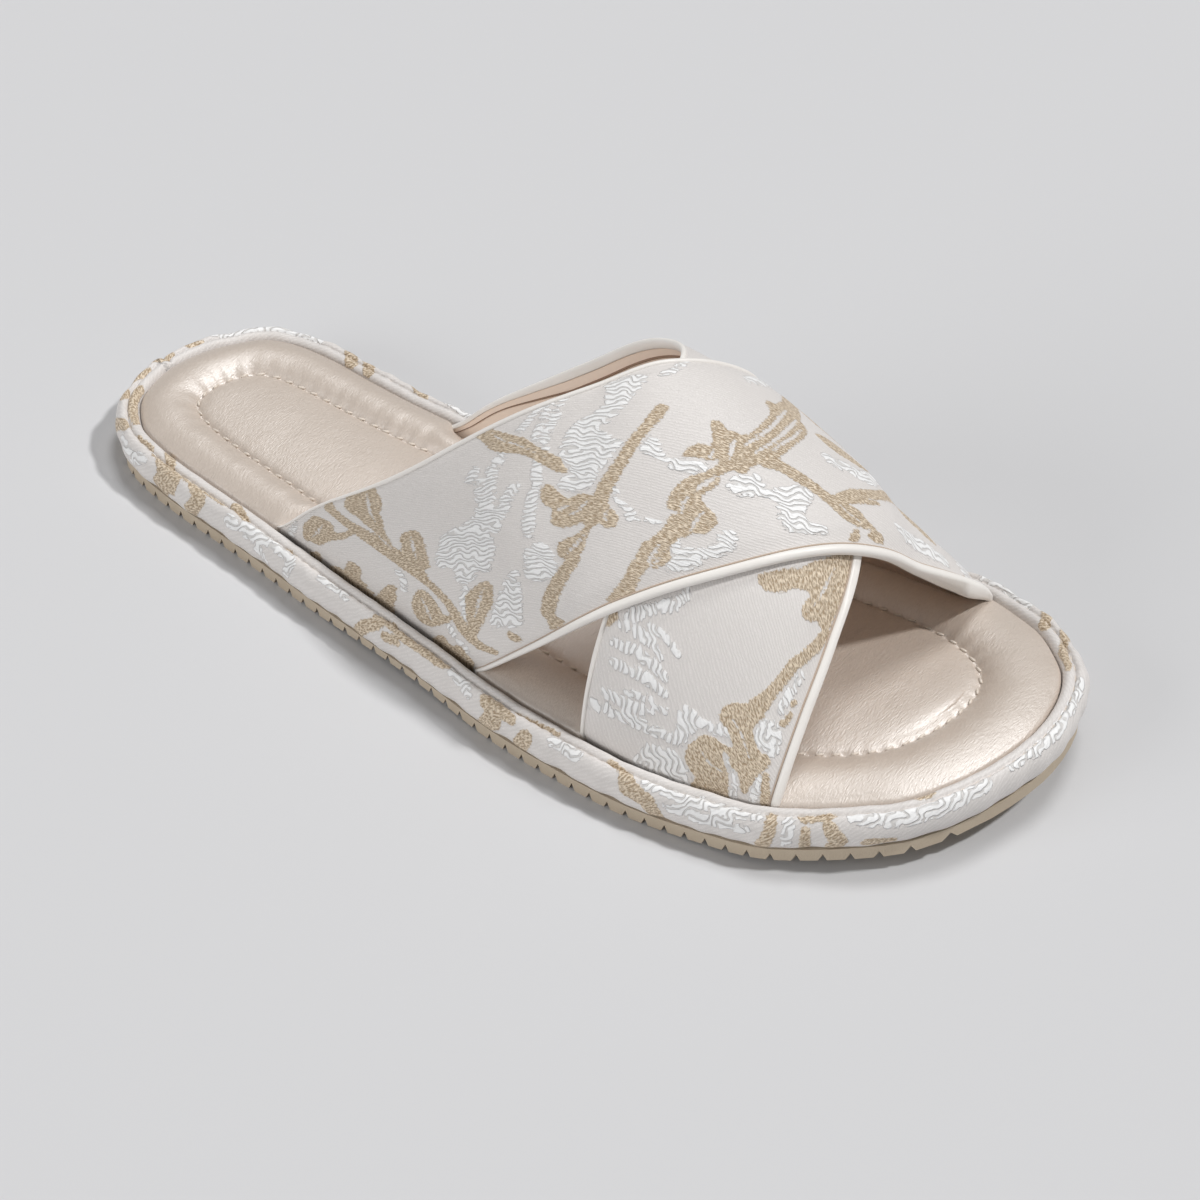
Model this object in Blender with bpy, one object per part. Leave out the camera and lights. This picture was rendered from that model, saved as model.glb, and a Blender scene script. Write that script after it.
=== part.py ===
"""Open-toe, open-back house slide for the right foot: two crossed brocade straps on a wrapped foam sole.

Lengths in the tables are millimetres, with y from the back of the insole to the toe, x to the outer
(lateral) side of the foot and z up from the floor. Meshes are written in metres about the middle of the sole.
"""
import math

import bmesh
import bpy
import numpy as np

for old in list(bpy.data.objects):
    bpy.data.objects.remove(old, do_unlink=True)

MM = 0.001

# Sole stack, heights above the floor
OUTSOLE_TOP = 3.3
MIDSOLE_BOTTOM = 3.6
MIDSOLE_SEAT = 8.0
INSOLE_BOTTOM = 8.3
SEAM_HEIGHT = 11.5
TOE_SPRING = 6.0
TOE_SPRING_START = 175.0
TOE_SPRING_RUN = 72.0
ARCH_LIFT = 1.3
ARCH_FROM, ARCH_TO = 72.0, 146.0
HEEL_KICK = 1.0
HEEL_KICK_START = 8.0

# Outsole edge and its cross grooves
OUTSOLE_REACH = 4.7
GROOVE_PITCH = 5.0
GROOVE_WIDTH = 1.7
GROOVE_DEPTH = 2.0
GROOVE_FIRST = 1.0
GROOVE_LAST = 250.0

# Straps
WALL = 3.0
LAST_INSET = 0.45
STRAP_LIFT = 2.2
LIFT_MARGIN = 3.0
LIFT_RUN = 15.0
BINDING_WIDTH = 3.1
BINDING_GAP = 0.4
BINDING_PROUD = 0.25
TUCK = 3.0
TUCK_FLOOR = 8.4
POCKET_CLEARANCE = 0.55

# The seam between insole and wrapped edge, seen from above: one row a station from heel to toe
SEAM = {
    "y":       [0, 1, 3, 6.5, 11, 18, 30, 45, 62, 80, 100, 120, 140, 160, 180, 198, 212, 222, 230,
                237, 242.5, 246.5, 248.5],
    "medial":  [-2.5, -9, -14.5, -20.5, -26, -29, -30, -29, -28.5, -29, -32, -36, -41.5,
                -46, -50, -51.5, -51.5, -49, -46, -41, -35.5, -27, -14.5],
    "lateral": [-2.5, 6, 11, 15, 18.5, 21, 23.5, 25.5, 28, 31, 34, 37, 40.5, 42, 42,
                39.5, 36.5, 31, 25.5, 19.5, 10.5, -0.5, -14.5],
}

# The wrapped edge in section: reach outside the seam and height
ROLL = {
    "reach":  [0.15, 0.15, 0.9, 2.6, 4.5, 5.7, 6.1, 5.8, 4.9, 4.1],
    "height": [MIDSOLE_SEAT, 11.2, 12.4, 12.9, 12.0, 10.1, 7.9, 5.8, 4.3, MIDSOLE_BOTTOM],
}

# The padded insole in section at the toe: distance in from the seam and height; the pad is narrower at the heel
PAD = {
    "inset":  [0.3, 0.3, 1.6, 4.4, 8.2, 12.2, 15.4, 17.2, 19.4],
    "height": [INSOLE_BOTTOM, 10.6, 12.2, 13.9, 14.8, 14.3, 13.0, 12.1, 12.8],
}
PAD_HEEL_SHARE = 0.76
PAD_FROM, PAD_TO = 80.0, 180.0

# The last: crown of the arch over the seam, its lean to the medial side and how full its shoulders are
LAST = {
    "y":     [60, 85, 110, 135, 160, 185, 202, 215],
    "crown": [35.5, 47, 61, 68.5, 65.5, 51, 39, 24.5],
    "lean":  [-16, -13.5, -10.5, -7.5, -5.5, -3.5, -2, -1],
    "full":  [1.20, 1.17, 1.14, 1.10, 1.25, 1.40, 1.50, 1.60],
}

# The four strap edges: y where each edge crosses a station of the arch, 0 at the medial seam, 1 at the lateral
EDGES = {
    "across":      [0, 0.125, 0.25, 0.375, 0.5, 0.625, 0.75, 0.875, 1],
    "top_rear":    [170, 163, 158.5, 159, 150.5, 135, 107.5, 76, 61],
    "top_front":   [213.5, 215, 215, 211.5, 203.2, 191.7, 174.7, 154.7, 132.7],
    "under_rear":  [70, 86, 118.5, 144, 154, 159.5, 164.5, 164.5, 164.5],
    "under_front": [144.5, 160.5, 175, 193, 205, 210.5, 213.2, 214.5, 214.8],
}


def curve_through(knots, values, at):
    """Smooth curve through a table's column."""
    knots = np.asarray(knots, float)
    values = np.asarray(values, float)
    slopes = np.gradient(values, knots)
    at = np.clip(np.asarray(at, float), knots[0], knots[-1])
    i = np.clip(np.searchsorted(knots, at) - 1, 0, len(knots) - 2)
    span = knots[i + 1] - knots[i]
    t = (at - knots[i]) / span
    start = (2 * t**3 - 3 * t**2 + 1) * values[i] + (t**3 - 2 * t**2 + t) * span * slopes[i]
    end = (3 * t**2 - 2 * t**3) * values[i + 1] + (t**3 - t**2) * span * slopes[i + 1]
    return start + end


def ease(t):
    """Soft step from 0 to 1."""
    t = np.clip(t, 0.0, 1.0)
    return t * t * (3 - 2 * t)


def sole_rise(y):
    """Toe spring of the whole sole."""
    return TOE_SPRING * np.clip((np.asarray(y, float) - TOE_SPRING_START) / TOE_SPRING_RUN, 0, None) ** 2


def underside(y):
    """Bottom of the outsole: flat under heel and ball, with a low arch, a kicked-up heel end and the toe spring."""
    y = np.asarray(y, float)
    arch = ARCH_LIFT * np.sin(np.pi * np.clip((y - ARCH_FROM) / (ARCH_TO - ARCH_FROM), 0, 1)) ** 2
    kick = HEEL_KICK * np.clip((HEEL_KICK_START - y) / (HEEL_KICK_START + OUTSOLE_REACH), 0, None) ** 2
    return sole_rise(y) + arch + kick


def seam_outline(steps):
    """Closed seam line in plan, from the heel up the lateral side, over the toe and back down the medial side."""
    rows = len(SEAM["y"])
    ring = [(SEAM["lateral"][k], SEAM["y"][k]) for k in range(rows)]
    ring += [(SEAM["medial"][k], SEAM["y"][k]) for k in range(rows - 2, 0, -1)]
    ring = np.array(ring, float)
    count = len(ring)
    points = []
    for k in range(count):
        a, b, c, d = (ring[(k + j) % count] for j in (-1, 0, 1, 2))
        lengths = [np.linalg.norm(q - p) ** 0.5 for p, q in ((a, b), (b, c), (c, d))]
        m1 = (c - b) + lengths[1] * ((b - a) / lengths[0] - (c - a) / (lengths[0] + lengths[1]))
        m2 = (c - b) + lengths[1] * ((d - c) / lengths[2] - (d - b) / (lengths[1] + lengths[2]))
        for j in range(steps):
            t = j / steps
            points.append((2 * t**3 - 3 * t**2 + 1) * b + (t**3 - 2 * t**2 + t) * m1
                          + (3 * t**2 - 2 * t**3) * c + (t**3 - t**2) * m2)
    return np.array(points)


def outward(points):
    """Unit normals of a closed outline that runs counter-clockwise seen from above."""
    along = np.roll(points, -1, axis=0) - np.roll(points, 1, axis=0)
    normal = np.stack([along[:, 1], -along[:, 0]], 1)
    return normal / np.linalg.norm(normal, axis=1, keepdims=True)


OUTLINE = seam_outline(2)
OUTLINE_NORMAL = outward(OUTLINE)
REACH_MAX = max(ROLL["reach"])
WIDEST = OUTLINE + OUTLINE_NORMAL * REACH_MAX
ORIGIN = (WIDEST.min(axis=0) + WIDEST.max(axis=0)) / 2


def placed(points):
    """Table millimetres to metres about the middle of the sole."""
    points = np.array(points, float)
    points[:, :2] -= ORIGIN
    return points * MM


def material(name, colour, roughness):
    mat = bpy.data.materials.new(name)
    mat.use_nodes = True
    shader = mat.node_tree.nodes["Principled BSDF"]
    shader.inputs["Base Color"].default_value = (*colour, 1.0)
    shader.inputs["Roughness"].default_value = roughness
    shader.inputs["Metallic"].default_value = 0.0
    return mat


def add_object(name, mesh_builder, mat):
    bm = bmesh.new()
    mesh_builder(bm)
    bmesh.ops.recalc_face_normals(bm, faces=bm.faces)
    mesh = bpy.data.meshes.new(name)
    bm.to_mesh(mesh)
    bm.free()
    mesh.shade_smooth()
    mesh.set_sharp_from_angle(angle=math.radians(40))
    obj = bpy.data.objects.new(name, mesh)
    bpy.context.collection.objects.link(obj)
    if mat:
        mesh.materials.append(mat)
    return obj


def add_loops(bm, loops):
    """Skin a run of loops with equal counts of points, each loop closed on itself."""
    rings = [[bm.verts.new(p) for p in placed(loop)] for loop in loops]
    for low, high in zip(rings, rings[1:]):
        count = len(low)
        for k in range(count):
            n = (k + 1) % count
            bm.faces.new((low[k], low[n], high[n], high[k]))
    return rings


def fill_across(bm, ring):
    """Close a sole-shaped ring with strips from the lateral to the medial side."""
    count = len(ring)
    half = count // 2
    bm.faces.new((ring[0], ring[1], ring[count - 1]))
    for k in range(1, half - 1):
        bm.faces.new((ring[k], ring[k + 1], ring[count - k - 1], ring[count - k]))
    bm.faces.new((ring[half - 1], ring[half], ring[half + 1]))


def sole_ring(reach, height):
    """A loop round the sole at a distance outside the seam, raised with the toe spring."""
    xy = OUTLINE + OUTLINE_NORMAL * reach
    z = height + sole_rise(xy[:, 1])
    return np.column_stack([xy, z])


def build_midsole(bm):
    loops = [sole_ring(r, h) for r, h in zip(ROLL["reach"], ROLL["height"])]
    rings = add_loops(bm, loops)
    fill_across(bm, rings[0])
    fill_across(bm, rings[-1])


def build_insole(bm):
    share = PAD_HEEL_SHARE + (1 - PAD_HEEL_SHARE) * ease((OUTLINE[:, 1] - PAD_FROM) / (PAD_TO - PAD_FROM))
    loops = [sole_ring(-d * share[:, None], h) for d, h in zip(PAD["inset"], PAD["height"])]
    rings = add_loops(bm, loops)
    fill_across(bm, rings[0])
    fill_across(bm, rings[-1])


def build_outsole(bm):
    """Cross-sections from heel to toe, each a flat bar; a groove lifts the bottom of its middle section."""
    fine = seam_outline(8)
    edge = fine + outward(fine) * OUTSOLE_REACH
    toe = edge[:, 1].argmax()
    heel = edge[:, 1].argmin()
    lateral = np.roll(edge, -heel, axis=0)[:(toe - heel) % len(edge) + 1]
    medial = np.roll(edge, -toe, axis=0)[:(heel - toe) % len(edge) + 1][::-1]
    back, front = edge[heel, 1], edge[toe, 1]
    stations = [(back + d, 0.0) for d in (0.06, 0.6, 1.7, 3.2)]
    stations += [(front - d, 0.0) for d in (3.0, 1.6, 0.6, 0.06)]
    grooves = int((GROOVE_LAST - GROOVE_FIRST) / GROOVE_PITCH) + 1
    for k in range(grooves):
        middle = GROOVE_FIRST + k * GROOVE_PITCH
        stations += [(middle - GROOVE_WIDTH / 2, 0.0), (middle, GROOVE_DEPTH), (middle + GROOVE_WIDTH / 2, 0.0)]
    loops = []
    for y, depth in sorted(stations):
        x_out = np.interp(y, lateral[:, 1], lateral[:, 0])
        x_in = np.interp(y, medial[:, 1], medial[:, 0])
        low = float(underside(y)) + depth
        high = OUTSOLE_TOP + float(sole_rise(y))
        loops.append([(x_in, y, low), (x_out, y, low), (x_out, y, high), (x_in, y, high)])
    rings = add_loops(bm, loops)
    bm.faces.new(rings[0])
    bm.faces.new(rings[-1])


def arch(across, y):
    """Outer face of the last: across runs 0 at the medial seam to 1 at the lateral seam."""
    medial = curve_through(SEAM["y"], SEAM["medial"], y) + LAST_INSET
    lateral = curve_through(SEAM["y"], SEAM["lateral"], y) - LAST_INSET
    crown = curve_through(LAST["y"], LAST["crown"], y)
    lean = curve_through(LAST["y"], LAST["lean"], y)
    full = curve_through(LAST["y"], LAST["full"], y)
    rise = np.maximum(np.sin(np.pi * across), 1e-6)
    x = medial + (lateral - medial) * (1 - np.cos(np.pi * across)) / 2 + lean * rise**2
    z = SEAM_HEIGHT + sole_rise(y) + crown * rise**full
    return np.stack([x, np.asarray(y, float) + 0 * x, z], -1)


def slopes(across, y):
    """How the last's face moves with a step across the arch and a step along the shoe, and its normal."""
    across = np.clip(across, 0.03, 0.97)
    d_across = (arch(across + 0.001, y) - arch(across - 0.001, y)) / 0.002
    d_along = (arch(across, y + 0.1) - arch(across, y - 0.1)) / 0.2
    normal = np.cross(d_across, d_along)
    normal /= np.linalg.norm(normal, axis=-1, keepdims=True)
    return d_across, d_along, normal


def strap_point(across, y, out, floor=TUCK_FLOOR):
    """Point at a distance outside the last; past either seam the strap runs straight down into its tuck."""
    inside = np.clip(across, 0.0, 1.0)
    point = arch(inside, y) + slopes(inside, y)[2] * np.asarray(out, float)[..., None]
    point[..., 2] += 100.0 * (np.minimum(across, 0) + np.minimum(1 - across, 0))
    if floor is not None:
        point[..., 2] = np.maximum(point[..., 2], floor + sole_rise(y))
    return point


def edge_y(name, across):
    return curve_through(EDGES["across"], EDGES[name], across)


def inside_edge(name, across, distance):
    """Station and y of the point at a distance in from a strap's edge, measured over the last's face."""
    sign = 1.0 if name.endswith("rear") else -1.0
    held = np.clip(across, 0.0, 1.0)
    middle = np.clip(held, 0.03, 0.97)
    y = edge_y(name, middle)
    d_across, d_along, normal = slopes(middle, y)
    along = d_across + d_along * ((edge_y(name, middle + 0.01) - edge_y(name, middle - 0.01)) / 0.02)[..., None]
    along /= np.linalg.norm(along, axis=-1, keepdims=True)
    inward = np.cross(normal, along)
    inward *= np.sign((inward * d_along).sum(-1, keepdims=True)) * sign
    aa = (d_across * d_across).sum(-1)
    bb = (d_along * d_along).sum(-1)
    ab = (d_across * d_along).sum(-1)
    ia = (inward * d_across).sum(-1)
    ib = (inward * d_along).sum(-1)
    det = aa * bb - ab * ab
    step_across = (ia * bb - ib * ab) / det
    step_along = (ib * aa - ia * ab) / det
    hold = np.clip(np.minimum(held, 1 - held) / 0.2, 0, 1) ** 2
    return across + step_across * distance * hold, edge_y(name, held) + step_along * distance


def over_under(across, y):
    """1 where the top strap lies over the under strap, easing to 0 beside it."""
    past_rear = y - edge_y("under_rear", np.clip(across, 0, 1))
    past_front = edge_y("under_front", np.clip(across, 0, 1)) - y
    return ease((past_rear + LIFT_MARGIN + LIFT_RUN) / LIFT_RUN) * ease((past_front + LIFT_MARGIN + LIFT_RUN) / LIFT_RUN)


def under_top(across, y):
    """1 where the top strap covers the under strap, easing to 0 just clear of it."""
    past_rear = y - edge_y("top_rear", np.clip(across, 0, 1))
    past_front = edge_y("top_front", np.clip(across, 0, 1)) - y
    return ease((past_rear + 12.0) / 7.0) * ease((past_front + 12.0) / 7.0)


def strap_rows(count):
    """Stations from one tuck over the arch to the other."""
    return np.concatenate([[-TUCK / 100], np.linspace(0, 1, count), [1 + TUCK / 100]])


def strap_shell(bm, rear, front, margin, inner, outer, rows, columns, floor):
    """Closed wall between two offsets of the last; inner and outer give the offsets for a station and y."""
    across = np.asarray(rows, float)
    a0, y0 = inside_edge(rear, across, margin)
    a1, y1 = inside_edge(front, across, margin)
    loops = []
    for k in range(len(across)):
        share = np.linspace(0, 1, columns)
        a = a0[k] + (a1[k] - a0[k]) * share
        y = y0[k] + (y1[k] - y0[k]) * share
        upper_side = strap_point(a, y, outer(a, y), floor)
        lower_side = strap_point(a, y, inner(a, y), floor)
        loops.append(np.concatenate([upper_side, lower_side[::-1]]))
    rings = add_loops(bm, loops)
    for ring in (rings[0], rings[-1]):
        for k in range(columns - 1):
            bm.faces.new((ring[k], ring[k + 1], ring[2 * columns - 2 - k], ring[2 * columns - 1 - k]))


WALL_MARGIN = BINDING_WIDTH + BINDING_GAP


def build_top_strap(bm):
    strap_shell(bm, "top_rear", "top_front", WALL_MARGIN,
                lambda a, y: STRAP_LIFT * over_under(a, y) - WALL,
                lambda a, y: STRAP_LIFT * over_under(a, y), strap_rows(47), 12, TUCK_FLOOR)


def build_under_strap(bm):
    strap_shell(bm, "under_rear", "under_front", WALL_MARGIN,
                lambda a, y: -WALL + 0 * a, lambda a, y: 0 * a, strap_rows(46), 11, TUCK_FLOOR)


# Section of a binding: distance in from the strap's edge and share of its thickness
BINDING_SECTION = {
    "inset": [0.0, 0.8, 2.3, BINDING_WIDTH, 2.3, 0.8],
    "share": [0.5, 1.0, 1.0, 0.5, 0.0, 0.0],
}


def build_binding(bm, edge):
    """Bead along one strap edge; at the crossing the upper one rides over the under strap, the lower one flattens."""
    across = strap_rows(47)
    sides = []
    for inset, share in zip(BINDING_SECTION["inset"], BINDING_SECTION["share"]):
        a, y = inside_edge(edge, across, inset)
        if edge.startswith("top"):
            ride = over_under(a, y)
            low = -WALL - BINDING_PROUD + ride * (WALL + BINDING_PROUD + BINDING_GAP)
            high = BINDING_PROUD + ride * STRAP_LIFT
        else:
            hidden = under_top(a, y)
            low = -WALL - BINDING_PROUD + 0 * a
            high = BINDING_PROUD + hidden * (STRAP_LIFT - WALL - 1.5 * BINDING_GAP - BINDING_PROUD)
        sides.append(strap_point(a, y, low + (high - low) * share))
    loops = np.stack(sides, 1)
    rings = add_loops(bm, loops)
    bm.faces.new(rings[0])
    bm.faces.new(rings[-1])


def build_pocket(bm, rear, front, rows):
    """Form of a strap's end with room round it, for the pocket that it sits in."""
    strap_shell(bm, rear, front, -POCKET_CLEARANCE,
                lambda a, y: -WALL - BINDING_PROUD - POCKET_CLEARANCE + 0 * a,
                lambda a, y: 9.0 + 0 * a, rows, 4, None)


BROCADE = material("brocade", (0.62, 0.57, 0.53), 0.55)
SATIN = material("champagne_satin", (0.68, 0.60, 0.53), 0.35)
BINDING = material("cream_binding", (0.80, 0.75, 0.69), 0.45)
RUBBER = material("khaki_rubber", (0.42, 0.36, 0.27), 0.8)

add_object("outsole", build_outsole, RUBBER)
add_object("midsole", build_midsole, BROCADE)
insole = add_object("insole", build_insole, SATIN)
upper = add_object("upper", build_top_strap, BROCADE)
for edge in ("top_rear", "top_front", "under_rear", "under_front"):
    add_object(edge + "_binding", lambda bm, name=edge: build_binding(bm, name), BINDING)

# The under strap is joined to the top strap where they cross
cutters = [("UNION", upper, add_object("under_strap_form", build_under_strap, BROCADE))]

# Each strap end sits in a pocket at the side of the insole
MEDIAL_END = [-0.06, 0.0, 0.03, 0.07, 0.12, 0.18, 0.26]
LATERAL_END = [1 - a for a in MEDIAL_END]
for strap in ("top", "under"):
    for side, rows in (("medial", MEDIAL_END), ("lateral", LATERAL_END)):
        form = add_object("%s_%s_pocket_form" % (strap, side),
                          lambda bm, s=strap, r=rows: build_pocket(bm, s + "_rear", s + "_front", r), None)
        cutters.append(("DIFFERENCE", insole, form))

for operation, target, form in cutters:
    form.hide_render = True
    form.display_type = "WIRE"
    cut = target.modifiers.new(form.name, "BOOLEAN")
    cut.operation = operation
    cut.solver = "EXACT"
    cut.object = form
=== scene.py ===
"""A right-foot house slide: two crossed brocade straps with cream bindings over a padded satin insole,
a brocade-wrapped foam edge and a thin grooved rubber sole. Tables are in millimetres: y from the back
of the insole to the toe, x to the outer side of the foot, z up from the floor.
"""
import math

import bmesh
import bpy
import numpy as np
from mathutils import Matrix, Quaternion, Vector


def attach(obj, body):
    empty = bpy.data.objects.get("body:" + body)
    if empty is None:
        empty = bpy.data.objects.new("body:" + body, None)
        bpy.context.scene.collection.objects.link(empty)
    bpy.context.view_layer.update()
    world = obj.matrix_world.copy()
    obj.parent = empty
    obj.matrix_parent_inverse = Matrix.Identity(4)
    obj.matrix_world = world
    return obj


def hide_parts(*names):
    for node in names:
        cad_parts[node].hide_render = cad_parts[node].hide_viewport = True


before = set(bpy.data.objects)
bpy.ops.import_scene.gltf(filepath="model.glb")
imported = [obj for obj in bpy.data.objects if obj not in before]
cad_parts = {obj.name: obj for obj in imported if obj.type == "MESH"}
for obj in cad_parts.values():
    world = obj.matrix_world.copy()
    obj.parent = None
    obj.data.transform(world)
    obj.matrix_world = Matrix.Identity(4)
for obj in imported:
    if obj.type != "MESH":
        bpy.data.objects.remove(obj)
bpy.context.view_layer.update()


# Outsole: a sheet of khaki rubber about 3 mm thick, cut to the outline of the shoe, grooved across
# for grip and cemented under the wrapped midsole. The solid already has its true shape and grooves.
def start_material(name):
    mat = bpy.data.materials.new(name)
    mat.use_nodes = True
    return mat, mat.node_tree, mat.node_tree.nodes["Principled BSDF"]


def add_node(tree, kind, inputs, **settings):
    """A shader node; an input given as a socket is linked, anything else is set."""
    node = tree.nodes.new("ShaderNode" + kind)
    for key, value in settings.items():
        setattr(node, key, value)
    for key, value in inputs.items():
        if isinstance(value, bpy.types.NodeSocket):
            tree.links.new(value, node.inputs[key])
        else:
            node.inputs[key].default_value = value
    return node


def calc(tree, operation, a, b=0.0, c=0.0):
    return add_node(tree, "Math", {0: a, 1: b, 2: c}, operation=operation).outputs[0]


def blend_colours(tree, share, first, second):
    mix = add_node(tree, "Mix", {0: share}, data_type="RGBA")
    for socket, value in ((mix.inputs[6], first), (mix.inputs[7], second)):
        if isinstance(value, bpy.types.NodeSocket):
            tree.links.new(value, socket)
        else:
            socket.default_value = (*value, 1.0)
    return mix.outputs[2]


def soft_step(tree, value, low, high):
    return add_node(tree, "MapRange", {"Value": value, "From Min": low, "From Max": high},
                    interpolation_type="SMOOTHSTEP").outputs["Result"]


def noise(tree, vector, scale, detail):
    return add_node(tree, "TexNoise", {"Vector": vector, "Scale": scale, "Detail": detail}).outputs["Fac"]


def raise_surface(tree, shader, height, strength, distance):
    bump = add_node(tree, "Bump", {"Height": height, "Strength": strength, "Distance": distance})
    tree.links.new(bump.outputs[0], shader.inputs["Normal"])


def set_finish(shader, finish):
    for socket, value in finish.items():
        shader.inputs[socket].default_value = value


def two_tone(name, patches, dark, light, finish, grain=None):
    """A material that drifts between two tones. Patches are a noise's scale and detail; a raised grain
    adds its strength and depth to those two."""
    mat, tree, shader = start_material(name)
    place = add_node(tree, "TexCoord", {}).outputs["Object"]
    colour = blend_colours(tree, noise(tree, place, *patches), dark, light)
    tree.links.new(colour, shader.inputs["Base Color"])
    set_finish(shader, finish)
    if grain:
        raise_surface(tree, shader, noise(tree, place, *grain[:2]), *grain[2:])
    return mat


rubber = two_tone("khaki_rubber", (60.0, 4.0), (0.47, 0.385, 0.285), (0.60, 0.51, 0.395),
                  {"Roughness": 0.75}, grain=(1900.0, 2.0, 0.35, 0.0003))
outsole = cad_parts["outsole"]
outsole.data.materials.clear()
outsole.data.materials.append(rubber)


# Midsole edge: a foam plate wrapped in brocade. A narrow welt next to the insole and a round roll outside it
# are parted by a sewn crease, and the two ends of the wrapping meet at the back of the heel.
SEAM = {
    "y":       [0, 1, 3, 6.5, 11, 18, 30, 45, 62, 80, 100, 120, 140, 160, 180, 198, 212, 222, 230,
                237, 242.5, 246.5, 248.5],
    "medial":  [-2.5, -9, -14.5, -20.5, -26, -29, -30, -29, -28.5, -29, -32, -36, -41.5,
                -46, -50, -51.5, -51.5, -49, -46, -41, -35.5, -27, -14.5],
    "lateral": [-2.5, 6, 11, 15, 18.5, 21, 23.5, 25.5, 28, 31, 34, 37, 40.5, 42, 42,
                39.5, 36.5, 31, 25.5, 19.5, 10.5, -0.5, -14.5],
}
EDGE_SECTION = {
    "reach":  [0.1, 0.1, 0.5, 1.1, 1.8, 2.5, 3.0,
               3.4, 4.0, 4.7, 5.35, 5.9, 6.15, 6.0, 5.5, 4.7, 4.0],
    "height": [8.3, 10.9, 12.0, 12.7, 12.85, 12.5, 11.5,
               12.3, 12.55, 12.0, 11.0, 9.6, 8.0, 6.4, 5.0, 4.0, 3.65],
}
EDGE_CREASE_ROW = 6
EDGE_STITCH_PITCH, EDGE_PUCKER, EDGE_PUCKER_SPREAD = 3.4, 0.24, 1.1
EDGE_JOIN_RUN, JOIN_HALF_WIDTH, JOIN_DEPTH, JOIN_DROP = -2.0, 0.6, 0.7, 0.5
EDGE_RIPPLES = ((0.14, 1.15, 2, 17), (0.22, 2.9, 3, 31))
TURNED_IN, TURNED_BOTTOM, TURNED_TOP = 6.0, 3.65, 7.9
TOE_SPRING, TOE_SPRING_START, TOE_SPRING_RUN = 6.0, 175.0, 72.0
WEAVE_SLANT, WAVE_LENGTH, FLOAT_PITCH, RIB_PITCH = 38, 4.8, 1.95, 1.0
NO_FIGURE = -3.0
MIDDLE = np.array([-4.756, 124.25, 0.0])
MM = 0.001


def hermite(t, start, start_slope, end, end_slope):
    return ((2 * t**3 - 3 * t**2 + 1) * start + (t**3 - 2 * t**2 + t) * start_slope
            + (3 * t**2 - 2 * t**3) * end + (t**3 - t**2) * end_slope)


def curve_through(knots, values, at):
    knots = np.asarray(knots, float)
    values = np.asarray(values, float)
    slope = np.gradient(values, knots)
    at = np.clip(np.asarray(at, float), knots[0], knots[-1])
    i = np.clip(np.searchsorted(knots, at) - 1, 0, len(knots) - 2)
    span = knots[i + 1] - knots[i]
    t = (at - knots[i]) / span
    return hermite(t, values[i], span * slope[i], values[i + 1], span * slope[i + 1])


def ease(t):
    t = np.clip(t, 0.0, 1.0)
    return t * t * (3 - 2 * t)


def sole_rise(y):
    return TOE_SPRING * np.clip((np.asarray(y, float) - TOE_SPRING_START) / TOE_SPRING_RUN, 0, None) ** 2


def on_sole(xy, height):
    """Points at a height over the sole's bottom, which rises at the toe."""
    return np.column_stack([xy, height + sole_rise(xy[:, 1])])


def round_curve(ring, steps):
    """A closed curve through a ring of points."""
    ring = np.asarray(ring, float)
    a, b, c, d = (np.roll(ring, shift, axis=0) for shift in (1, 0, -1, -2))
    chords = ((a, b), (b, c), (c, d))
    before, here, after = (np.sqrt(np.linalg.norm(q - p, axis=1))[:, None] for p, q in chords)
    m1 = (c - b) + here * ((b - a) / before - (c - a) / (before + here))
    m2 = (c - b) + here * ((d - c) / after - (d - b) / (here + after))
    t = (np.arange(steps) / steps)[None, :, None]
    return hermite(t, b[:, None], m1[:, None], c[:, None], m2[:, None]).reshape(-1, 2)


def seam_points(half):
    """Points evenly spaced round the seam: up the lateral side from heel to toe, down the medial side."""
    rows = len(SEAM["y"])
    ring = [(SEAM["lateral"][k], SEAM["y"][k]) for k in range(rows)]
    ring += [(SEAM["medial"][k], SEAM["y"][k]) for k in range(rows - 2, 0, -1)]
    fine = round_curve(ring, 30)
    toe = (rows - 1) * 30
    sides = []
    for side in (fine[:toe + 1], np.vstack([fine[toe:], fine[:1]])):
        run = np.concatenate([[0], np.cumsum(np.linalg.norm(np.diff(side, axis=0), axis=1))])
        even = np.linspace(0, run[-1], half + 1)[:-1]
        sides.append(np.column_stack([np.interp(even, run, side[:, k]) for k in (0, 1)]))
    return np.vstack(sides)


def seam_normals(points):
    along = np.roll(points, -2, axis=0) - np.roll(points, 2, axis=0)
    normal = np.stack([along[:, 1], -along[:, 0]], 1)
    for _ in range(6):
        normal = normal + np.roll(normal, 1, axis=0) + np.roll(normal, -1, axis=0)
        normal /= np.linalg.norm(normal, axis=1, keepdims=True)
    return normal


def running_length(points):
    steps = np.linalg.norm(np.roll(points, -1, axis=0) - points, axis=1)
    return np.concatenate([[0], np.cumsum(steps)])


def finish_piece(name, bm, materials):
    bmesh.ops.remove_doubles(bm, verts=bm.verts, dist=1e-6)
    open_edges = [e for e in bm.edges if e.is_boundary]
    if open_edges:
        bmesh.ops.holes_fill(bm, edges=open_edges, sides=0)
    bmesh.ops.recalc_face_normals(bm, faces=bm.faces)
    mesh = bpy.data.meshes.new(name)
    bm.to_mesh(mesh)
    bm.free()
    mesh.shade_smooth()
    for mat in materials:
        mesh.materials.append(mat)
    piece = bpy.data.objects.new(name, mesh)
    bpy.context.collection.objects.link(piece)
    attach(piece, "root")
    return piece


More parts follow.
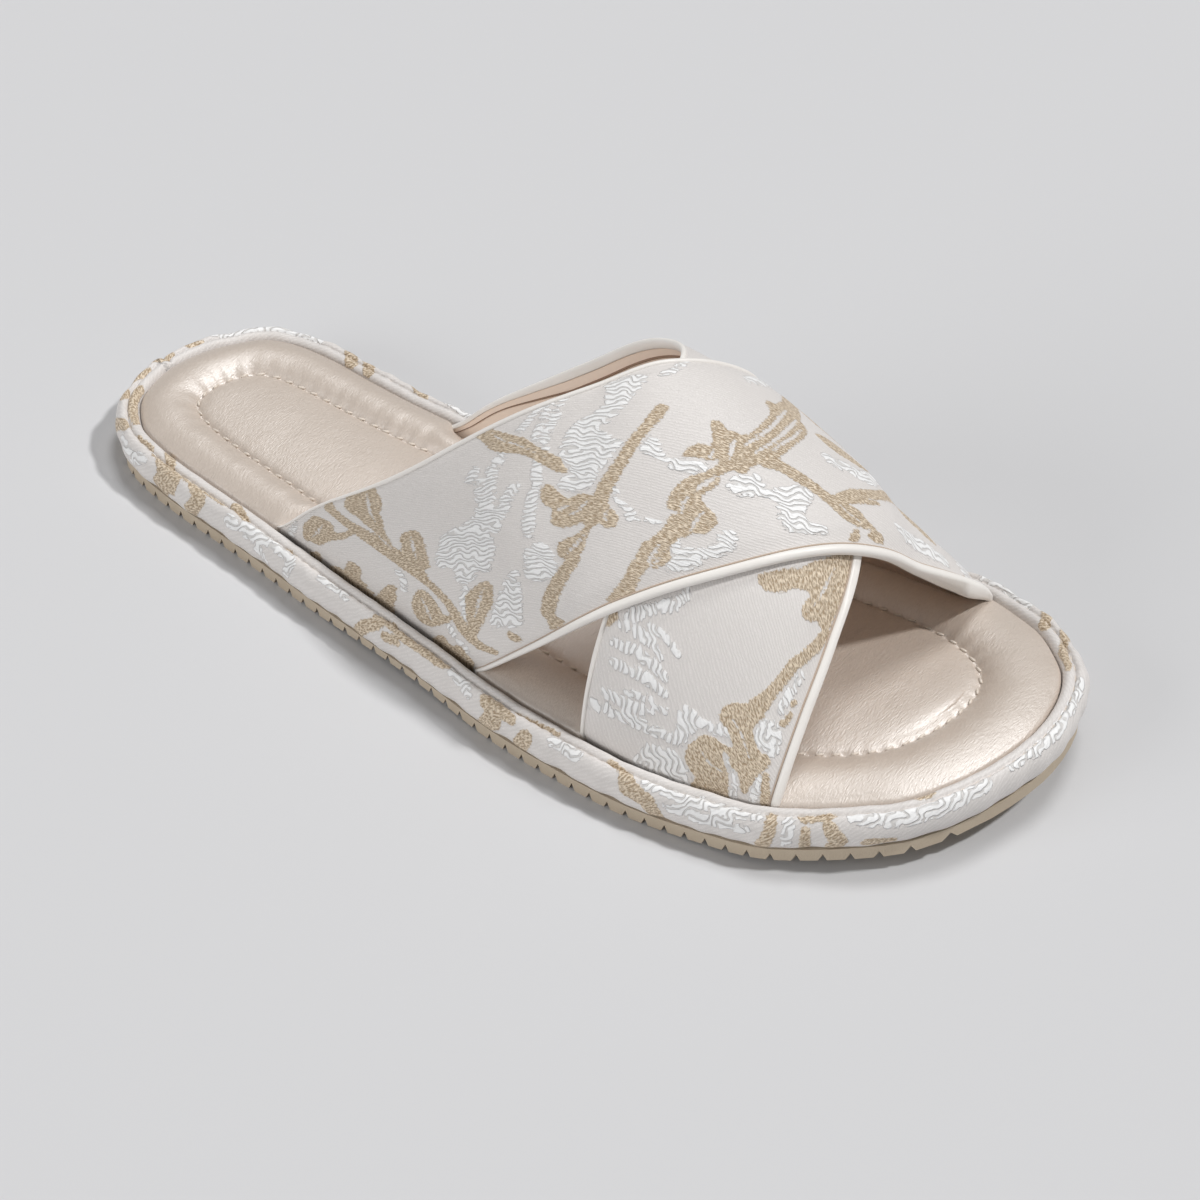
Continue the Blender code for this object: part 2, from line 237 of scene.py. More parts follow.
def set_layers(bm, gold, white, weave):
    """Keep the depth in gold and white figures, and the place in the weave, on the points of the cloth."""
    gold_layer = bm.verts.layers.float.new("gold")
    white_layer = bm.verts.layers.float.new("white")
    weave_layer = bm.verts.layers.float_vector.new("weave")
    for k, v in enumerate(bm.verts):
        v[gold_layer] = gold[k]
        v[white_layer] = white[k]
        v[weave_layer] = Vector((*weave[k], 0.0))


def grid_numbers(bm, columns, rows):
    flat = np.array([v.co for v in bm.verts])
    numbers = np.rint((flat[:, :2] + 1) / 2 * [columns, rows]).astype(int)
    return numbers[:, 0], numbers[:, 1]


def put_points(bm, points):
    for v, point in zip(bm.verts, (points - MIDDLE) * MM):
        v.co = point


def figure_depth(at, figures):
    """How deep flat positions lie inside woven figures, in millimetres. A figure with a third column is
    a stem of that half width; one with two columns is the outline of a leaf, bud or petal."""
    depth = np.full(len(at), NO_FIGURE)
    for figure in figures:
        table = np.array(figure, float)
        stem = table.shape[1] == 3
        line = table if stem else np.column_stack([round_curve(table, 5), np.zeros(5 * len(table))])
        margin = 3.0 + line[:, 2].max()
        low, high = line[:, :2].min(0) - margin, line[:, :2].max(0) + margin
        near = np.flatnonzero(((at > low) & (at < high)).all(1))
        spot = at[near]
        best = np.full(len(near), -9.0)
        inside = np.zeros(len(near), bool)
        pairs = zip(line, line[1:]) if stem else zip(line, np.roll(line, -1, axis=0))
        for p, q in pairs:
            step = q[:2] - p[:2]
            t = np.clip((spot - p[:2]) @ step / max(step @ step, 1e-9), 0, 1)
            gap = np.linalg.norm(spot - p[:2] - t[:, None] * step, axis=1)
            best = np.maximum(best, p[2] + (q[2] - p[2]) * t - gap)
            if (p[1] - q[1]) != 0:
                crosses = (p[1] > spot[:, 1]) != (q[1] > spot[:, 1])
                inside ^= crosses & (spot[:, 0] < p[0] + (spot[:, 1] - p[1]) * step[0] / step[1])
        if not stem:
            best = np.where(inside, -best, best)
        depth[near] = np.maximum(depth[near], best)
    return depth


def sine_wave(tree, value, pitch):
    return calc(tree, "SINE", calc(tree, "MULTIPLY", value, 2 * math.pi / pitch))


def brocade_cloth(name):
    """Pale ribbed ground with streaked gold figures and raised white ones whose floats run in waves."""
    mat, tree, shader = start_material(name)
    gold = add_node(tree, "Attribute", {}, attribute_name="gold").outputs["Fac"]
    white = add_node(tree, "Attribute", {}, attribute_name="white").outputs["Fac"]
    weave = add_node(tree, "Attribute", {}, attribute_name="weave").outputs["Vector"]
    turn = (0.0, 0.0, math.radians(WEAVE_SLANT))
    slant = add_node(tree, "Mapping", {"Vector": weave, "Rotation": turn}).outputs["Vector"]
    across = add_node(tree, "SeparateXYZ", {"Vector": slant}).outputs
    streaks = add_node(tree, "Mapping", {"Vector": slant, "Scale": (1.0, 1.9, 1.0)}).outputs["Vector"]

    ragged = calc(tree, "MULTIPLY_ADD", noise(tree, weave, 1.1, 2.0), 0.9, -0.45)
    sway = calc(tree, "MULTIPLY", noise(tree, weave, 0.13, 1.0), 7.0)
    wave = sine_wave(tree, calc(tree, "ADD", across["X"], sway), WAVE_LENGTH)
    sway = calc(tree, "MULTIPLY_ADD", noise(tree, weave, 0.42, 1.0), 2.4, sway)
    row = calc(tree, "ADD", calc(tree, "MULTIPLY_ADD", wave, 0.7, across["Y"]), sway)
    floats = soft_step(tree, sine_wave(tree, row, FLOAT_PITCH), -1.0, -0.1)
    gold_area = soft_step(tree, calc(tree, "MULTIPLY_ADD", ragged, 1.5, gold), -0.2, 0.2)
    white_edge = calc(tree, "SUBTRACT", white, ragged)
    white_area = calc(tree, "ADD", white_edge, calc(tree, "MULTIPLY_ADD", floats, 0.5, -0.3))
    breaks = soft_step(tree, noise(tree, streaks, 0.24, 2.0), 0.52, 0.64)
    white_area = soft_step(tree, calc(tree, "MULTIPLY_ADD", breaks, -0.8, white_area), -0.18, 0.18)
    white_area = calc(tree, "MULTIPLY", white_area, calc(tree, "SUBTRACT", 1.0, gold_area))

    rib_row = calc(tree, "MULTIPLY_ADD", noise(tree, streaks, 0.35, 1.0), 1.2, across["Y"])
    rib = calc(tree, "MULTIPLY_ADD", sine_wave(tree, rib_row, RIB_PITCH), 0.5, 0.5)
    thread = noise(tree, streaks, 2.4, 1.0)
    rib = calc(tree, "MULTIPLY", rib, soft_step(tree, thread, 0.25, 0.6))
    fleck = soft_step(tree, noise(tree, streaks, 1.15, 2.0), 0.36, 0.62)

    ground = blend_colours(tree, rib, (0.695, 0.66, 0.635), (0.785, 0.75, 0.725))
    silk = blend_colours(tree, floats, (0.675, 0.655, 0.635), (0.91, 0.905, 0.90))
    metal = blend_colours(tree, fleck, (0.41, 0.30, 0.19), (0.82, 0.695, 0.54))
    colour = blend_colours(tree, white_area, ground, silk)
    colour = blend_colours(tree, gold_area, colour, metal)
    tree.links.new(colour, shader.inputs["Base Color"])
    set_finish(shader, {"Roughness": 0.48, "Sheen Weight": 0.12, "Sheen Roughness": 0.4})

    white_relief = calc(tree, "MULTIPLY", white_area, calc(tree, "MULTIPLY_ADD", floats, 0.34, 0.06))
    gold_relief = calc(tree, "MULTIPLY", gold_area, calc(tree, "MULTIPLY_ADD", fleck, 0.22, 0.06))
    height = calc(tree, "ADD", calc(tree, "MULTIPLY_ADD", rib, 0.07, white_relief), gold_relief)
    raise_surface(tree, shader, height, 0.8, 0.001)
    return mat


brocade = brocade_cloth("brocade")
EDGE_COLUMNS, EDGE_ROWS = 860, 40
edge_ring = seam_points(EDGE_COLUMNS // 2)
edge_normal = seam_normals(edge_ring)
edge_run = running_length(edge_ring)
edge_arc = running_length(np.column_stack([EDGE_SECTION["reach"], EDGE_SECTION["height"]]))[:-1]
EDGE_CREASE = edge_arc[EDGE_CREASE_ROW]
edge_stops = np.linspace(0, edge_arc[-1], EDGE_ROWS - 3)


def round_seam(table, run):
    """Rows kept for the points of the seam, read off at lengths round it."""
    return np.column_stack([np.interp(run, edge_run, np.append(values, values[0])) for values in table.T])


def edge_place(run, arc):
    """Point on the wrapped edge at a length round the seam and a length down its section. The ripples of
    the cloth, each with a height, a pitch and a drift, are counted from the join at the heel."""
    run = np.mod(run, edge_run[-1])
    out = round_seam(edge_normal, run)
    reach = curve_through(edge_arc, EDGE_SECTION["reach"], arc)
    height = curve_through(edge_arc, EDGE_SECTION["height"], arc)
    shown = ease((arc - 3.0) / 2.0)
    past_join = np.mod(run - EDGE_JOIN_RUN, edge_run[-1])
    ripple = sum(high * np.sin(past_join / pitch + drift * np.sin(past_join / drift_pitch))
                 for high, pitch, drift, drift_pitch in EDGE_RIPPLES)
    near_crease = np.exp(-((arc - EDGE_CREASE) / EDGE_PUCKER_SPREAD) ** 2)
    pucker = EDGE_PUCKER * np.sin(2 * np.pi * run / EDGE_STITCH_PITCH) * near_crease
    dip = np.exp(-(np.minimum(past_join, edge_run[-1] - past_join) / JOIN_HALF_WIDTH) ** 2)
    reach = reach + shown * (ripple * ease((arc - EDGE_CREASE) / 3) - JOIN_DEPTH * dip)
    height = height + shown * (0.6 * ripple * ease((12 - arc) / 3) + pucker - JOIN_DROP * dip)
    xy = round_seam(edge_ring, run) + out * reach[:, None]
    return on_sole(xy, height)


EDGE_GOLD = [
    [(4, 8, 1.5), (8, 11, 2), (7, 15, 1.8)], [(-3, 8, 1.8), (0, 10, 1.4)], [(-11, 7.5, 1.5), (-9, 9, 1.2)],
    [(11, 5, 1.8), (17, 5.5, 1.8), (23, 4.8, 1.2)], [(13, 9, 1.6), (10, 13, 1.7), (7, 16, 1.6)],
    [(23, 9, 1.4), (19, 13, 1.6), (16, 17, 1.4)], [(28, 6.6, 0.7), (34, 6.4, 0.7)],
    [(38, 4, 1.4), (42, 6.5, 1.2)], [(39, 9, 1.6), (43, 11, 3), (41, 15, 3)], [(46, 9, 1.6), (45, 13, 2)],
    [(52, 9, 1.4), (55, 11, 2), (52, 16, 1.9)], [(36, 8.3, 0.7), (50, 8.3, 0.8), (62, 8, 1)],
    [(65, 6, 1.5), (70, 7.6, 1.4)], [(85, 7.6, 0.9), (87, 7, 0.6)],
    [(119, 9, 1.4), (123, 8, 1.7), (129, 9.5, 1.2), (135, 8.6, 1.7), (140, 9, 1.4), (143, 8.5, 1)],
    [(120, 10, 1.5), (116, 13, 1.7), (113, 17, 1.6)], [(123, 12, 1.3), (127, 11.5, 0.9)],
    [(157, 9.8, 1.8), (160, 10, 2.2), (165, 10.6, 1.4)], [(160, 13.5, 2.6), (157, 17, 1.8)],
    [(170, 12.6, 2), (168, 16.5, 2)], [(165, 7.6, 0.8), (172, 7, 0.8), (177, 6.4, 0.5)],
    [(192, 6.8, 1.2), (196, 8, 1.5), (198, 11.6, 2.3), (203, 13, 2), (205, 17, 1.8)],
    [(231, 7.5, 1.1), (231, 12, 1.2), (229.5, 17, 1.5)], [(238, 8.6, 1.8), (243, 8, 1.7)],
    [(238, 12, 1.1), (238, 17.5, 1.3)], [(243, 11, 1.5), (245, 15, 2), (244, 17.5, 1.8)],
    [(251, 16, 1.4), (256, 16.6, 1)], [(262, 4.6, 1), (265, 5.2, 0.7)],
    [(318, 5, 0.8), (324, 5, 1.3), (329, 8, 1.6), (333, 12, 1.7), (336, 15, 1.4)],
    [(335, 5, 1.5), (340, 12, 1.4)], [(362, 6, 1.2), (366, 10, 2.3), (364, 15, 2)],
    [(382, 8, 1.6), (388, 10, 2.2), (391, 15, 1.8)], [(404, 7.5, 1.1), (410, 9, 1.8)],
    [(426, 6, 1.3), (430, 11, 2.5), (427, 16, 2)], [(437, 8, 1.5), (440, 13, 2)],
    [(458, 7.5, 1.1), (464, 9, 2), (468, 14, 2.2)], [(486, 6, 1.3), (490, 10, 2.2), (488, 15, 1.8)],
    [(509, 8, 1.3), (513, 11, 2.2), (516, 16, 1.6)], [(526, 5, 1.6), (529, 10, 1.8), (533, 14, 1.4)],
    [(532, 5, 1.9), (535, 10, 2), (538, 14, 1.5)],
]
EDGE_WHITE = [
    [(-30, 9, 1.4), (-20, 9, 2), (-14, 11, 1.6)], [(25, 12, 1.4), (30, 13, 2), (34, 11, 1.2)],
    [(66, 11, 1.4), (74, 10.5, 1.8), (82, 9.5, 1.4), (89, 10, 1.4), (88, 14, 1.1)],
    [(77, 13, 1.2), (80, 15, 1)], [(98, 9, 0.9), (108, 9, 1.2)],
    [(145, 9, 1.2), (149, 9.5, 1.8), (152, 11, 1)], [(177, 10, 1.3), (184, 10, 1.6)],
    [(202, 9, 1.2), (212, 9, 2.2), (222, 9, 2.4), (228, 8.5, 1.6)],
    [(208, 13, 1.2), (218, 12.6, 1.6), (226, 13, 1.2)], [(234.5, 8, 1), (234.5, 12, 1.3), (234, 16, 1)],
    [(248, 9, 1.5), (256, 10, 2.6), (266, 10.5, 2.4), (276, 10, 1.6)],
    [(284, 9, 1.6), (294, 9, 2.2), (306, 8.6, 2), (314, 9, 1.4)],
    [(344, 8, 1.4), (352, 10, 2), (357, 9, 1.2)], [(371, 8, 1.3), (377, 11, 2)],
    [(396, 8, 1.4), (400, 11, 2), (399, 15, 1.2)], [(414, 12, 1.4), (421, 9, 2)],
    [(445, 9, 1.6), (452, 11, 2.2)], [(474, 8, 1.4), (480, 11, 2)], [(496, 9, 1.4), (503, 11, 2)],
    [(545, 9, 1.8), (556, 10, 2.2), (566, 9, 1.6)],
]
bm = bmesh.new()
bmesh.ops.create_grid(bm, x_segments=EDGE_COLUMNS, y_segments=EDGE_ROWS - 1, size=1.0)
column, row = grid_numbers(bm, EDGE_COLUMNS, EDGE_ROWS - 1)
run = edge_run[-1] * column / EDGE_COLUMNS
arc = np.where(row == EDGE_ROWS - 1, 0.0, edge_stops[np.clip(row, 0, EDGE_ROWS - 4)])
points = edge_place(run, arc)
inner = (edge_ring - TURNED_IN * edge_normal)[column % EDGE_COLUMNS]
for turned_row, height in ((EDGE_ROWS - 3, TURNED_BOTTOM), (EDGE_ROWS - 2, TURNED_TOP)):
    points = np.where((row == turned_row)[:, None], on_sole(inner, height), points)
flat = np.column_stack([run, arc])
second_round = flat - [edge_run[-1], 0]
depths = [np.maximum(figure_depth(flat, chart), figure_depth(second_round, chart))
          for chart in (EDGE_GOLD, EDGE_WHITE)]
set_layers(bm, *depths, flat)
put_points(bm, points)
midsole = finish_piece("wrapped_edge", bm, [brocade])
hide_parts("midsole")


# Insole: champagne satin over foam, sewn down along a quilting line so that a fat rim stands round a flatter
# middle. The rim gives way where the straps are tucked down beside it.
PAD = {
    "inset":  [0.12, 0.5, 1.6, 4.4, 8.2, 12.2, 15.2, 16.6, 17.2, 17.8, 19.4],
    "height": [10.9, 11.8, 12.6, 13.9, 14.75, 14.4, 13.2, 12.2, 11.7, 12.15, 12.75],
}
QUILT_INSET, HEEL_INSET_SHARE = 17.2, 0.76
QUILT_PITCH, QUILT_SMOOTHING = 4.0, 900
STRAP_WALL, STRAP_EDGE_WALL, STRAP_TAPER = 3.0, 1.3, 9
INSOLE_BOTTOM = 8.4
INSOLE_HALF, INSOLE_ROWS, RIM_ROWS = 560, 46, 34
ROW_SPREAD = {
    "share": [0, 0.08, 0.5, 0.74, 0.9, 1],
    "inset": [0.12, 1.2, 11.0, 15.6, 17.7, 19.4],
}
PILLOW_RISE, RIM_SLACK = 1.8, 0.10
RIM_PUCKER, RIM_PUCKER_REACH = 0.32, 1.9
MIDDLE_PUCKER, MIDDLE_PUCKER_REACH = 0.15, 1.1
LATERAL_ENDS = ((61, 132.7), (164.5, 214.8))
MEDIAL_ENDS = ((70, 144.5), (170, 213.5))
insole_ring = seam_points(INSOLE_HALF)
insole_normal = seam_normals(insole_ring)
pad_share = HEEL_INSET_SHARE + (1 - HEEL_INSET_SHARE) * ease((insole_ring[:, 1] - 80) / 100)
quilt_line = insole_ring - insole_normal * (QUILT_INSET * pad_share)[:, None]
for _ in range(QUILT_SMOOTHING):
    quilt_line = (np.roll(quilt_line, 1, axis=0) + 2 * quilt_line + np.roll(quilt_line, -1, axis=0)) / 4
quilt_run = running_length(quilt_line)
quilt_stitches = round(quilt_run[-1] / QUILT_PITCH)


def tuck_room(points):
    """How far the rim is pressed in beside the ends of the straps."""
    room = np.zeros(len(points))
    lateral = np.arange(len(points)) < len(points) // 2
    y = points[:, 1]
    for on_side, ends in ((lateral, LATERAL_ENDS), (~lateral, MEDIAL_ENDS)):
        for low, high in ends:
            inside = ease((y - low + 0.5) / 4) * ease((high + 0.5 - y) / 4)
            taper = ease(np.minimum(y - low, high - y) / STRAP_TAPER)
            thick = STRAP_EDGE_WALL + (STRAP_WALL - STRAP_EDGE_WALL) * taper
            room = np.maximum(room, inside * (thick + 1.0) * on_side)
    return room


satin, tree, shader = start_material("champagne_satin")
place = add_node(tree, "TexCoord", {}).outputs["Object"]
turned = add_node(tree, "Mapping", {"Vector": place, "Scale": (900.0, 3600.0, 900.0)}).outputs["Vector"]
grain = noise(tree, turned, 1.0, 2.0)
tone = calc(tree, "MULTIPLY_ADD", grain, 0.6, calc(tree, "MULTIPLY", noise(tree, place, 22.0, 2.0), 0.4))
champagne = blend_colours(tree, tone, (0.46, 0.37, 0.295), (0.70, 0.60, 0.515))
tree.links.new(champagne, shader.inputs["Base Color"])
set_finish(shader, {"Roughness": 0.5, "IOR": 2.2, "Specular IOR Level": 1.0, "Sheen Weight": 0.2,
                    "Sheen Roughness": 0.3})
crumple = calc(tree, "MULTIPLY_ADD", grain, 0.55, noise(tree, place, 130.0, 4.0))
raise_surface(tree, shader, crumple, 0.55, 0.0006)

bm = bmesh.new()
bmesh.ops.create_grid(bm, x_segments=2 * INSOLE_HALF, y_segments=INSOLE_ROWS - 1, size=1.0)
column, row = grid_numbers(bm, 2 * INSOLE_HALF, INSOLE_ROWS - 1)
k = column % (2 * INSOLE_HALF)
row_inset = np.interp(np.linspace(0, 1, RIM_ROWS), ROW_SPREAD["share"], ROW_SPREAD["inset"])
inset = row_inset[np.minimum(row, RIM_ROWS - 1)]
share = (inset / QUILT_INSET)[:, None]
tuck = (tuck_room(insole_ring)[:, None] * insole_normal)[k] * np.clip(1 - share, 0, 1)
ring_end = insole_ring + (quilt_line - insole_ring) * row_inset[-1] / QUILT_INSET
spine = (ring_end + ring_end[-np.arange(2 * INSOLE_HALF)]) / 2
inward = np.clip((row - RIM_ROWS + 1) / (INSOLE_ROWS - RIM_ROWS), 0, 1)[:, None]
xy = (insole_ring[k] + (quilt_line - insole_ring)[k] * share - tuck) * (1 - inward) + spine[k] * inward
half_width = np.linalg.norm(ring_end - spine, axis=1)[k]
inward = inward[:, 0]
pillow = PILLOW_RISE * (1 - np.exp(-half_width / 10)) * (1 - (1 - inward) ** 2)
height = curve_through(PAD["inset"], PAD["height"], inset) + pillow
from_quilt = (inset - QUILT_INSET) * pad_share[k] + inward * half_width
turn = 2 * np.pi * quilt_run[k] / quilt_run[-1]
fold = np.cos(quilt_stitches * turn)
uneven = 0.8 + 0.3 * np.sin(6 * turn) * np.sin(15 * turn)
rim_side = np.exp(np.minimum(from_quilt, 0) / RIM_PUCKER_REACH) * (from_quilt <= 0)
middle_side = np.exp(-np.maximum(from_quilt, 0) / MIDDLE_PUCKER_REACH) * (from_quilt > 0) * (1 - inward)
slack_band = np.exp(-((from_quilt + 4.0) / 2.6) ** 2) * (1 - inward)
slack = RIM_SLACK * np.sin(45 * turn + 2 * np.sin(8 * turn)) * slack_band
height = height - uneven * fold * (RIM_PUCKER * rim_side + MIDDLE_PUCKER * middle_side) + slack
put_points(bm, on_sole(xy, height))
bmesh.ops.remove_doubles(bm, verts=bm.verts, dist=1e-6)
wall = bmesh.ops.extrude_edge_only(bm, edges=[e for e in bm.edges if e.is_boundary])["geom"]
for v in wall:
    if isinstance(v, bmesh.types.BMVert):
        v.co.z = (INSOLE_BOTTOM + float(sole_rise(v.co.y / MM + MIDDLE[1]))) * MM
insole = finish_piece("padded_insole", bm, [satin])
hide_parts("insole")


# Under strap: brocade over a thin interlining with a satin lining, from the medial rear over the instep to
# the lateral front. Both ends are tucked down between the insole and the wrapped edge.
LAST = {
    "y":     [60, 85, 110, 135, 160, 185, 202, 215],
    "crown": [35.5, 47, 61, 68.5, 65.5, 51, 39, 24.5],
    "lean":  [-16, -13.5, -10.5, -7.5, -5.5, -3.5, -2, -1],
    "full":  [1.20, 1.17, 1.14, 1.10, 1.25, 1.40, 1.50, 1.60],
}
STRAP_EDGES = {
    "across":      [0, 0.125, 0.25, 0.375, 0.5, 0.625, 0.75, 0.875, 1],
    "top_rear":    [170, 163, 158.5, 159, 150.5, 135, 107.5, 76, 61],
    "top_front":   [213.5, 215, 215, 211.5, 203.2, 191.7, 174.7, 154.7, 132.7],
    "under_rear":  [70, 86, 118.5, 144, 154, 159.5, 164.5, 164.5, 164.5],
    "under_front": [144.5, 160.5, 175, 193, 205, 210.5, 213.2, 214.5, 214.8],
}
STRAP_SEAM_HEIGHT = 11.5
STRAP_LIFT, LINING_CLEARANCE = 2.2, 0.25
EDGE_SLANT, SEWN_DOWN, SEWN_DOWN_RUN = 0.85, 0.5, 4.5
GOLD_RELIEF, WHITE_RELIEF = 0.10, 0.12
SEAM_CLEARANCE, END_PULL = 0.45, 0.45
TUCK, TUCK_DROP, TUCK_BOTTOM = 0.03, 100.0, 8.5
REAR_TURN_IN, FRONT_TURN_IN = 0.95, 1.95
CHART_WIDTH = 56.0


def last_face(across, y):
    medial = curve_through(SEAM["y"], SEAM["medial"], y) + SEAM_CLEARANCE
    lateral = curve_through(SEAM["y"], SEAM["lateral"], y) - SEAM_CLEARANCE
    crown, lean, full = (curve_through(LAST["y"], LAST[key], y) for key in ("crown", "lean", "full"))
    rise = np.maximum(np.sin(np.pi * across), 1e-6)
    x = medial + (lateral - medial) * (1 - np.cos(np.pi * across)) / 2 + lean * rise**2
    return np.stack([x, y + 0 * x, STRAP_SEAM_HEIGHT + sole_rise(y) + crown * rise**full], -1)


def last_slopes(across, y):
    across = np.clip(across, 0.03, 0.97)
    d_across = (last_face(across + 0.001, y) - last_face(across - 0.001, y)) / 0.002
    d_along = (last_face(across, y + 0.1) - last_face(across, y - 0.1)) / 0.2
    normal = np.cross(d_across, d_along)
    return d_across, d_along, normal / np.linalg.norm(normal, axis=-1, keepdims=True)


def strap_point(across, y, out):
    """Point a distance outside the last; past either seam the strap runs straight down into its tuck."""
    held = np.clip(across, 0.0, 1.0)
    point = last_face(held, y) + last_slopes(held, y)[2] * np.asarray(out, float)[..., None]
    point[..., 2] += TUCK_DROP * (np.minimum(across, 0) + np.minimum(1 - across, 0))
    point[..., 2] = np.maximum(point[..., 2], TUCK_BOTTOM + sole_rise(y))
    return point


def strap_edge(name, across):
    return curve_through(STRAP_EDGES["across"], STRAP_EDGES[name], np.clip(across, 0, 1))


def inside_edge(name, across, distance):
    """Station and y of the point at a distance in from a strap's edge, measured over the last."""
    held = np.clip(across, 0.0, 1.0)
    middle = np.clip(held, 0.03, 0.97)
    d_across, d_along, normal = last_slopes(middle, strap_edge(name, middle))
    turn = (strap_edge(name, middle + 0.01) - strap_edge(name, middle - 0.01)) / 0.02
    along = d_across + d_along * turn[..., None]
    inward = np.cross(normal, along / np.linalg.norm(along, axis=-1, keepdims=True))
    inward *= np.sign((inward * d_along).sum(-1, keepdims=True)) * (1.0 if name.endswith("rear") else -1.0)
    aa, bb, ab = ((p * q).sum(-1) for p, q in ((d_across, d_across), (d_along, d_along), (d_across, d_along)))
    ia, ib = ((inward * p).sum(-1) for p in (d_across, d_along))
    det = aa * bb - ab * ab
    hold = np.clip(np.minimum(held, 1 - held) / 0.2, 0, 1) ** 2
    return (across + (ia * bb - ib * ab) / det * distance * hold,
            strap_edge(name, held) + (ib * aa - ia * ab) / det * distance)


def meets(other, across, y, reach, run):
    past_rear = y - strap_edge(other + "_rear", across)
    past_front = strap_edge(other + "_front", across) - y
    return ease((past_rear + reach) / run) * ease((past_front + reach) / run)


def over_under(across, y):
    """1 where the top strap lies over the under strap, easing to 0 beside it."""
    return meets("under", across, y, 18, 15)


def under_top(across, y):
    """1 where the under strap is covered, easing to 0 just clear of the top strap."""
    return meets("top", across, y, 12, 7)


def strap_faces(strap, across, y):
    """Offsets of a strap's lining and of its brocade from the last. The strap thins towards its sewn
    edges, and the last stitches at the sole pull it in."""
    ride = over_under(across, y) if strap == "top" else 0 * y
    inside = np.minimum(y - strap_edge(strap + "_rear", across), strap_edge(strap + "_front", across) - y)
    thick = STRAP_EDGE_WALL + (STRAP_WALL - STRAP_EDGE_WALL) * ease(inside * EDGE_SLANT / STRAP_TAPER)
    pulled_in = END_PULL * (1 - ease(np.minimum(across, 1 - across) / 0.02))
    return -thick * (1 - ride) + LINING_CLEARANCE * ride - pulled_in, STRAP_LIFT * ride - pulled_in


def strap_middle(strap):
    """Stations of a strap and the length along its middle up to each."""
    station = np.linspace(0, 1, 401)
    y = (strap_edge(strap + "_rear", station) + strap_edge(strap + "_front", station)) / 2
    middle = strap_point(station, y, strap_faces(strap, station, y)[1])
    return station, np.concatenate([[0], np.cumsum(np.linalg.norm(np.diff(middle, axis=0), axis=1))])


def on_chart(figures):
    """Charts give millimetres along the middle of a strap and hundredths of its width from the rear edge."""
    return [[(p[0], p[1] * CHART_WIDTH / 100, *p[2:]) for p in figure] for figure in figures]


def make_strap(strap, columns, rows, gold_chart, gap_chart, white_chart, materials):
    """A closed strap: a grid laid on the lining side is extruded to the brocade side, with its figures."""
    stations = np.concatenate([[-TUCK], np.linspace(0, 1, columns - 1), [1 + TUCK]])
    rear_a, rear_y = inside_edge(strap + "_rear", stations, REAR_TURN_IN)
    front_a, front_y = inside_edge(strap + "_front", stations, FRONT_TURN_IN)
    bm = bmesh.new()
    bmesh.ops.create_grid(bm, x_segments=columns, y_segments=rows, size=1.0)
    lining_faces = set(bm.faces)
    lining_verts = set(bm.verts)
    bmesh.ops.extrude_face_region(bm, geom=bm.faces[:], use_keep_orig=True)
    outside = np.array([v not in lining_verts for v in bm.verts])
    k, row = grid_numbers(bm, columns, rows)
    share = row / rows
    a = rear_a[k] + (front_a[k] - rear_a[k]) * share
    y = rear_y[k] + (front_y[k] - rear_y[k]) * share
    low, high = strap_edge(strap + "_rear", a), strap_edge(strap + "_front", a)
    flat = np.column_stack([np.interp(a, *strap_middle(strap)), (y - low) / (high - low) * CHART_WIDTH])
    gold, white = np.full((2, len(flat)), NO_FIGURE)
    face = flat[outside]
    gaps = figure_depth(face, on_chart(gap_chart))
    gold[outside] = np.minimum(figure_depth(face, on_chart(gold_chart)), -gaps)
    white[outside] = figure_depth(face, on_chart(white_chart))
    inner, outer = strap_faces(strap, a, y)
    raised = GOLD_RELIEF * ease((gold + 0.3) / 0.6) + WHITE_RELIEF * ease((white + 0.3) / 0.6)
    if strap == "under":
        raised *= 1 - under_top(a, y)
    from_edge = np.minimum(y - rear_y[k] + 2.0, front_y[k] - y) * EDGE_SLANT
    sewn_down = SEWN_DOWN * (1 - ease(from_edge / SEWN_DOWN_RUN))
    points = strap_point(a, y, np.where(outside, outer + raised - sewn_down, inner))
    rear_line = strap_point(rear_a[k], rear_y[k], 0 * y)
    front_line = strap_point(front_a[k], front_y[k], 0 * y)
    true_width = np.linalg.norm(rear_line - front_line, axis=1)
    from_rear = true_width * (share if strap == "top" else -share)
    set_layers(bm, gold, white, np.column_stack([flat[:, 0], from_rear]))
    put_points(bm, points)
    for f in bm.faces:
        f.material_index = 1 if f in lining_faces else 0
    return finish_piece(strap + "_strap", bm, materials)


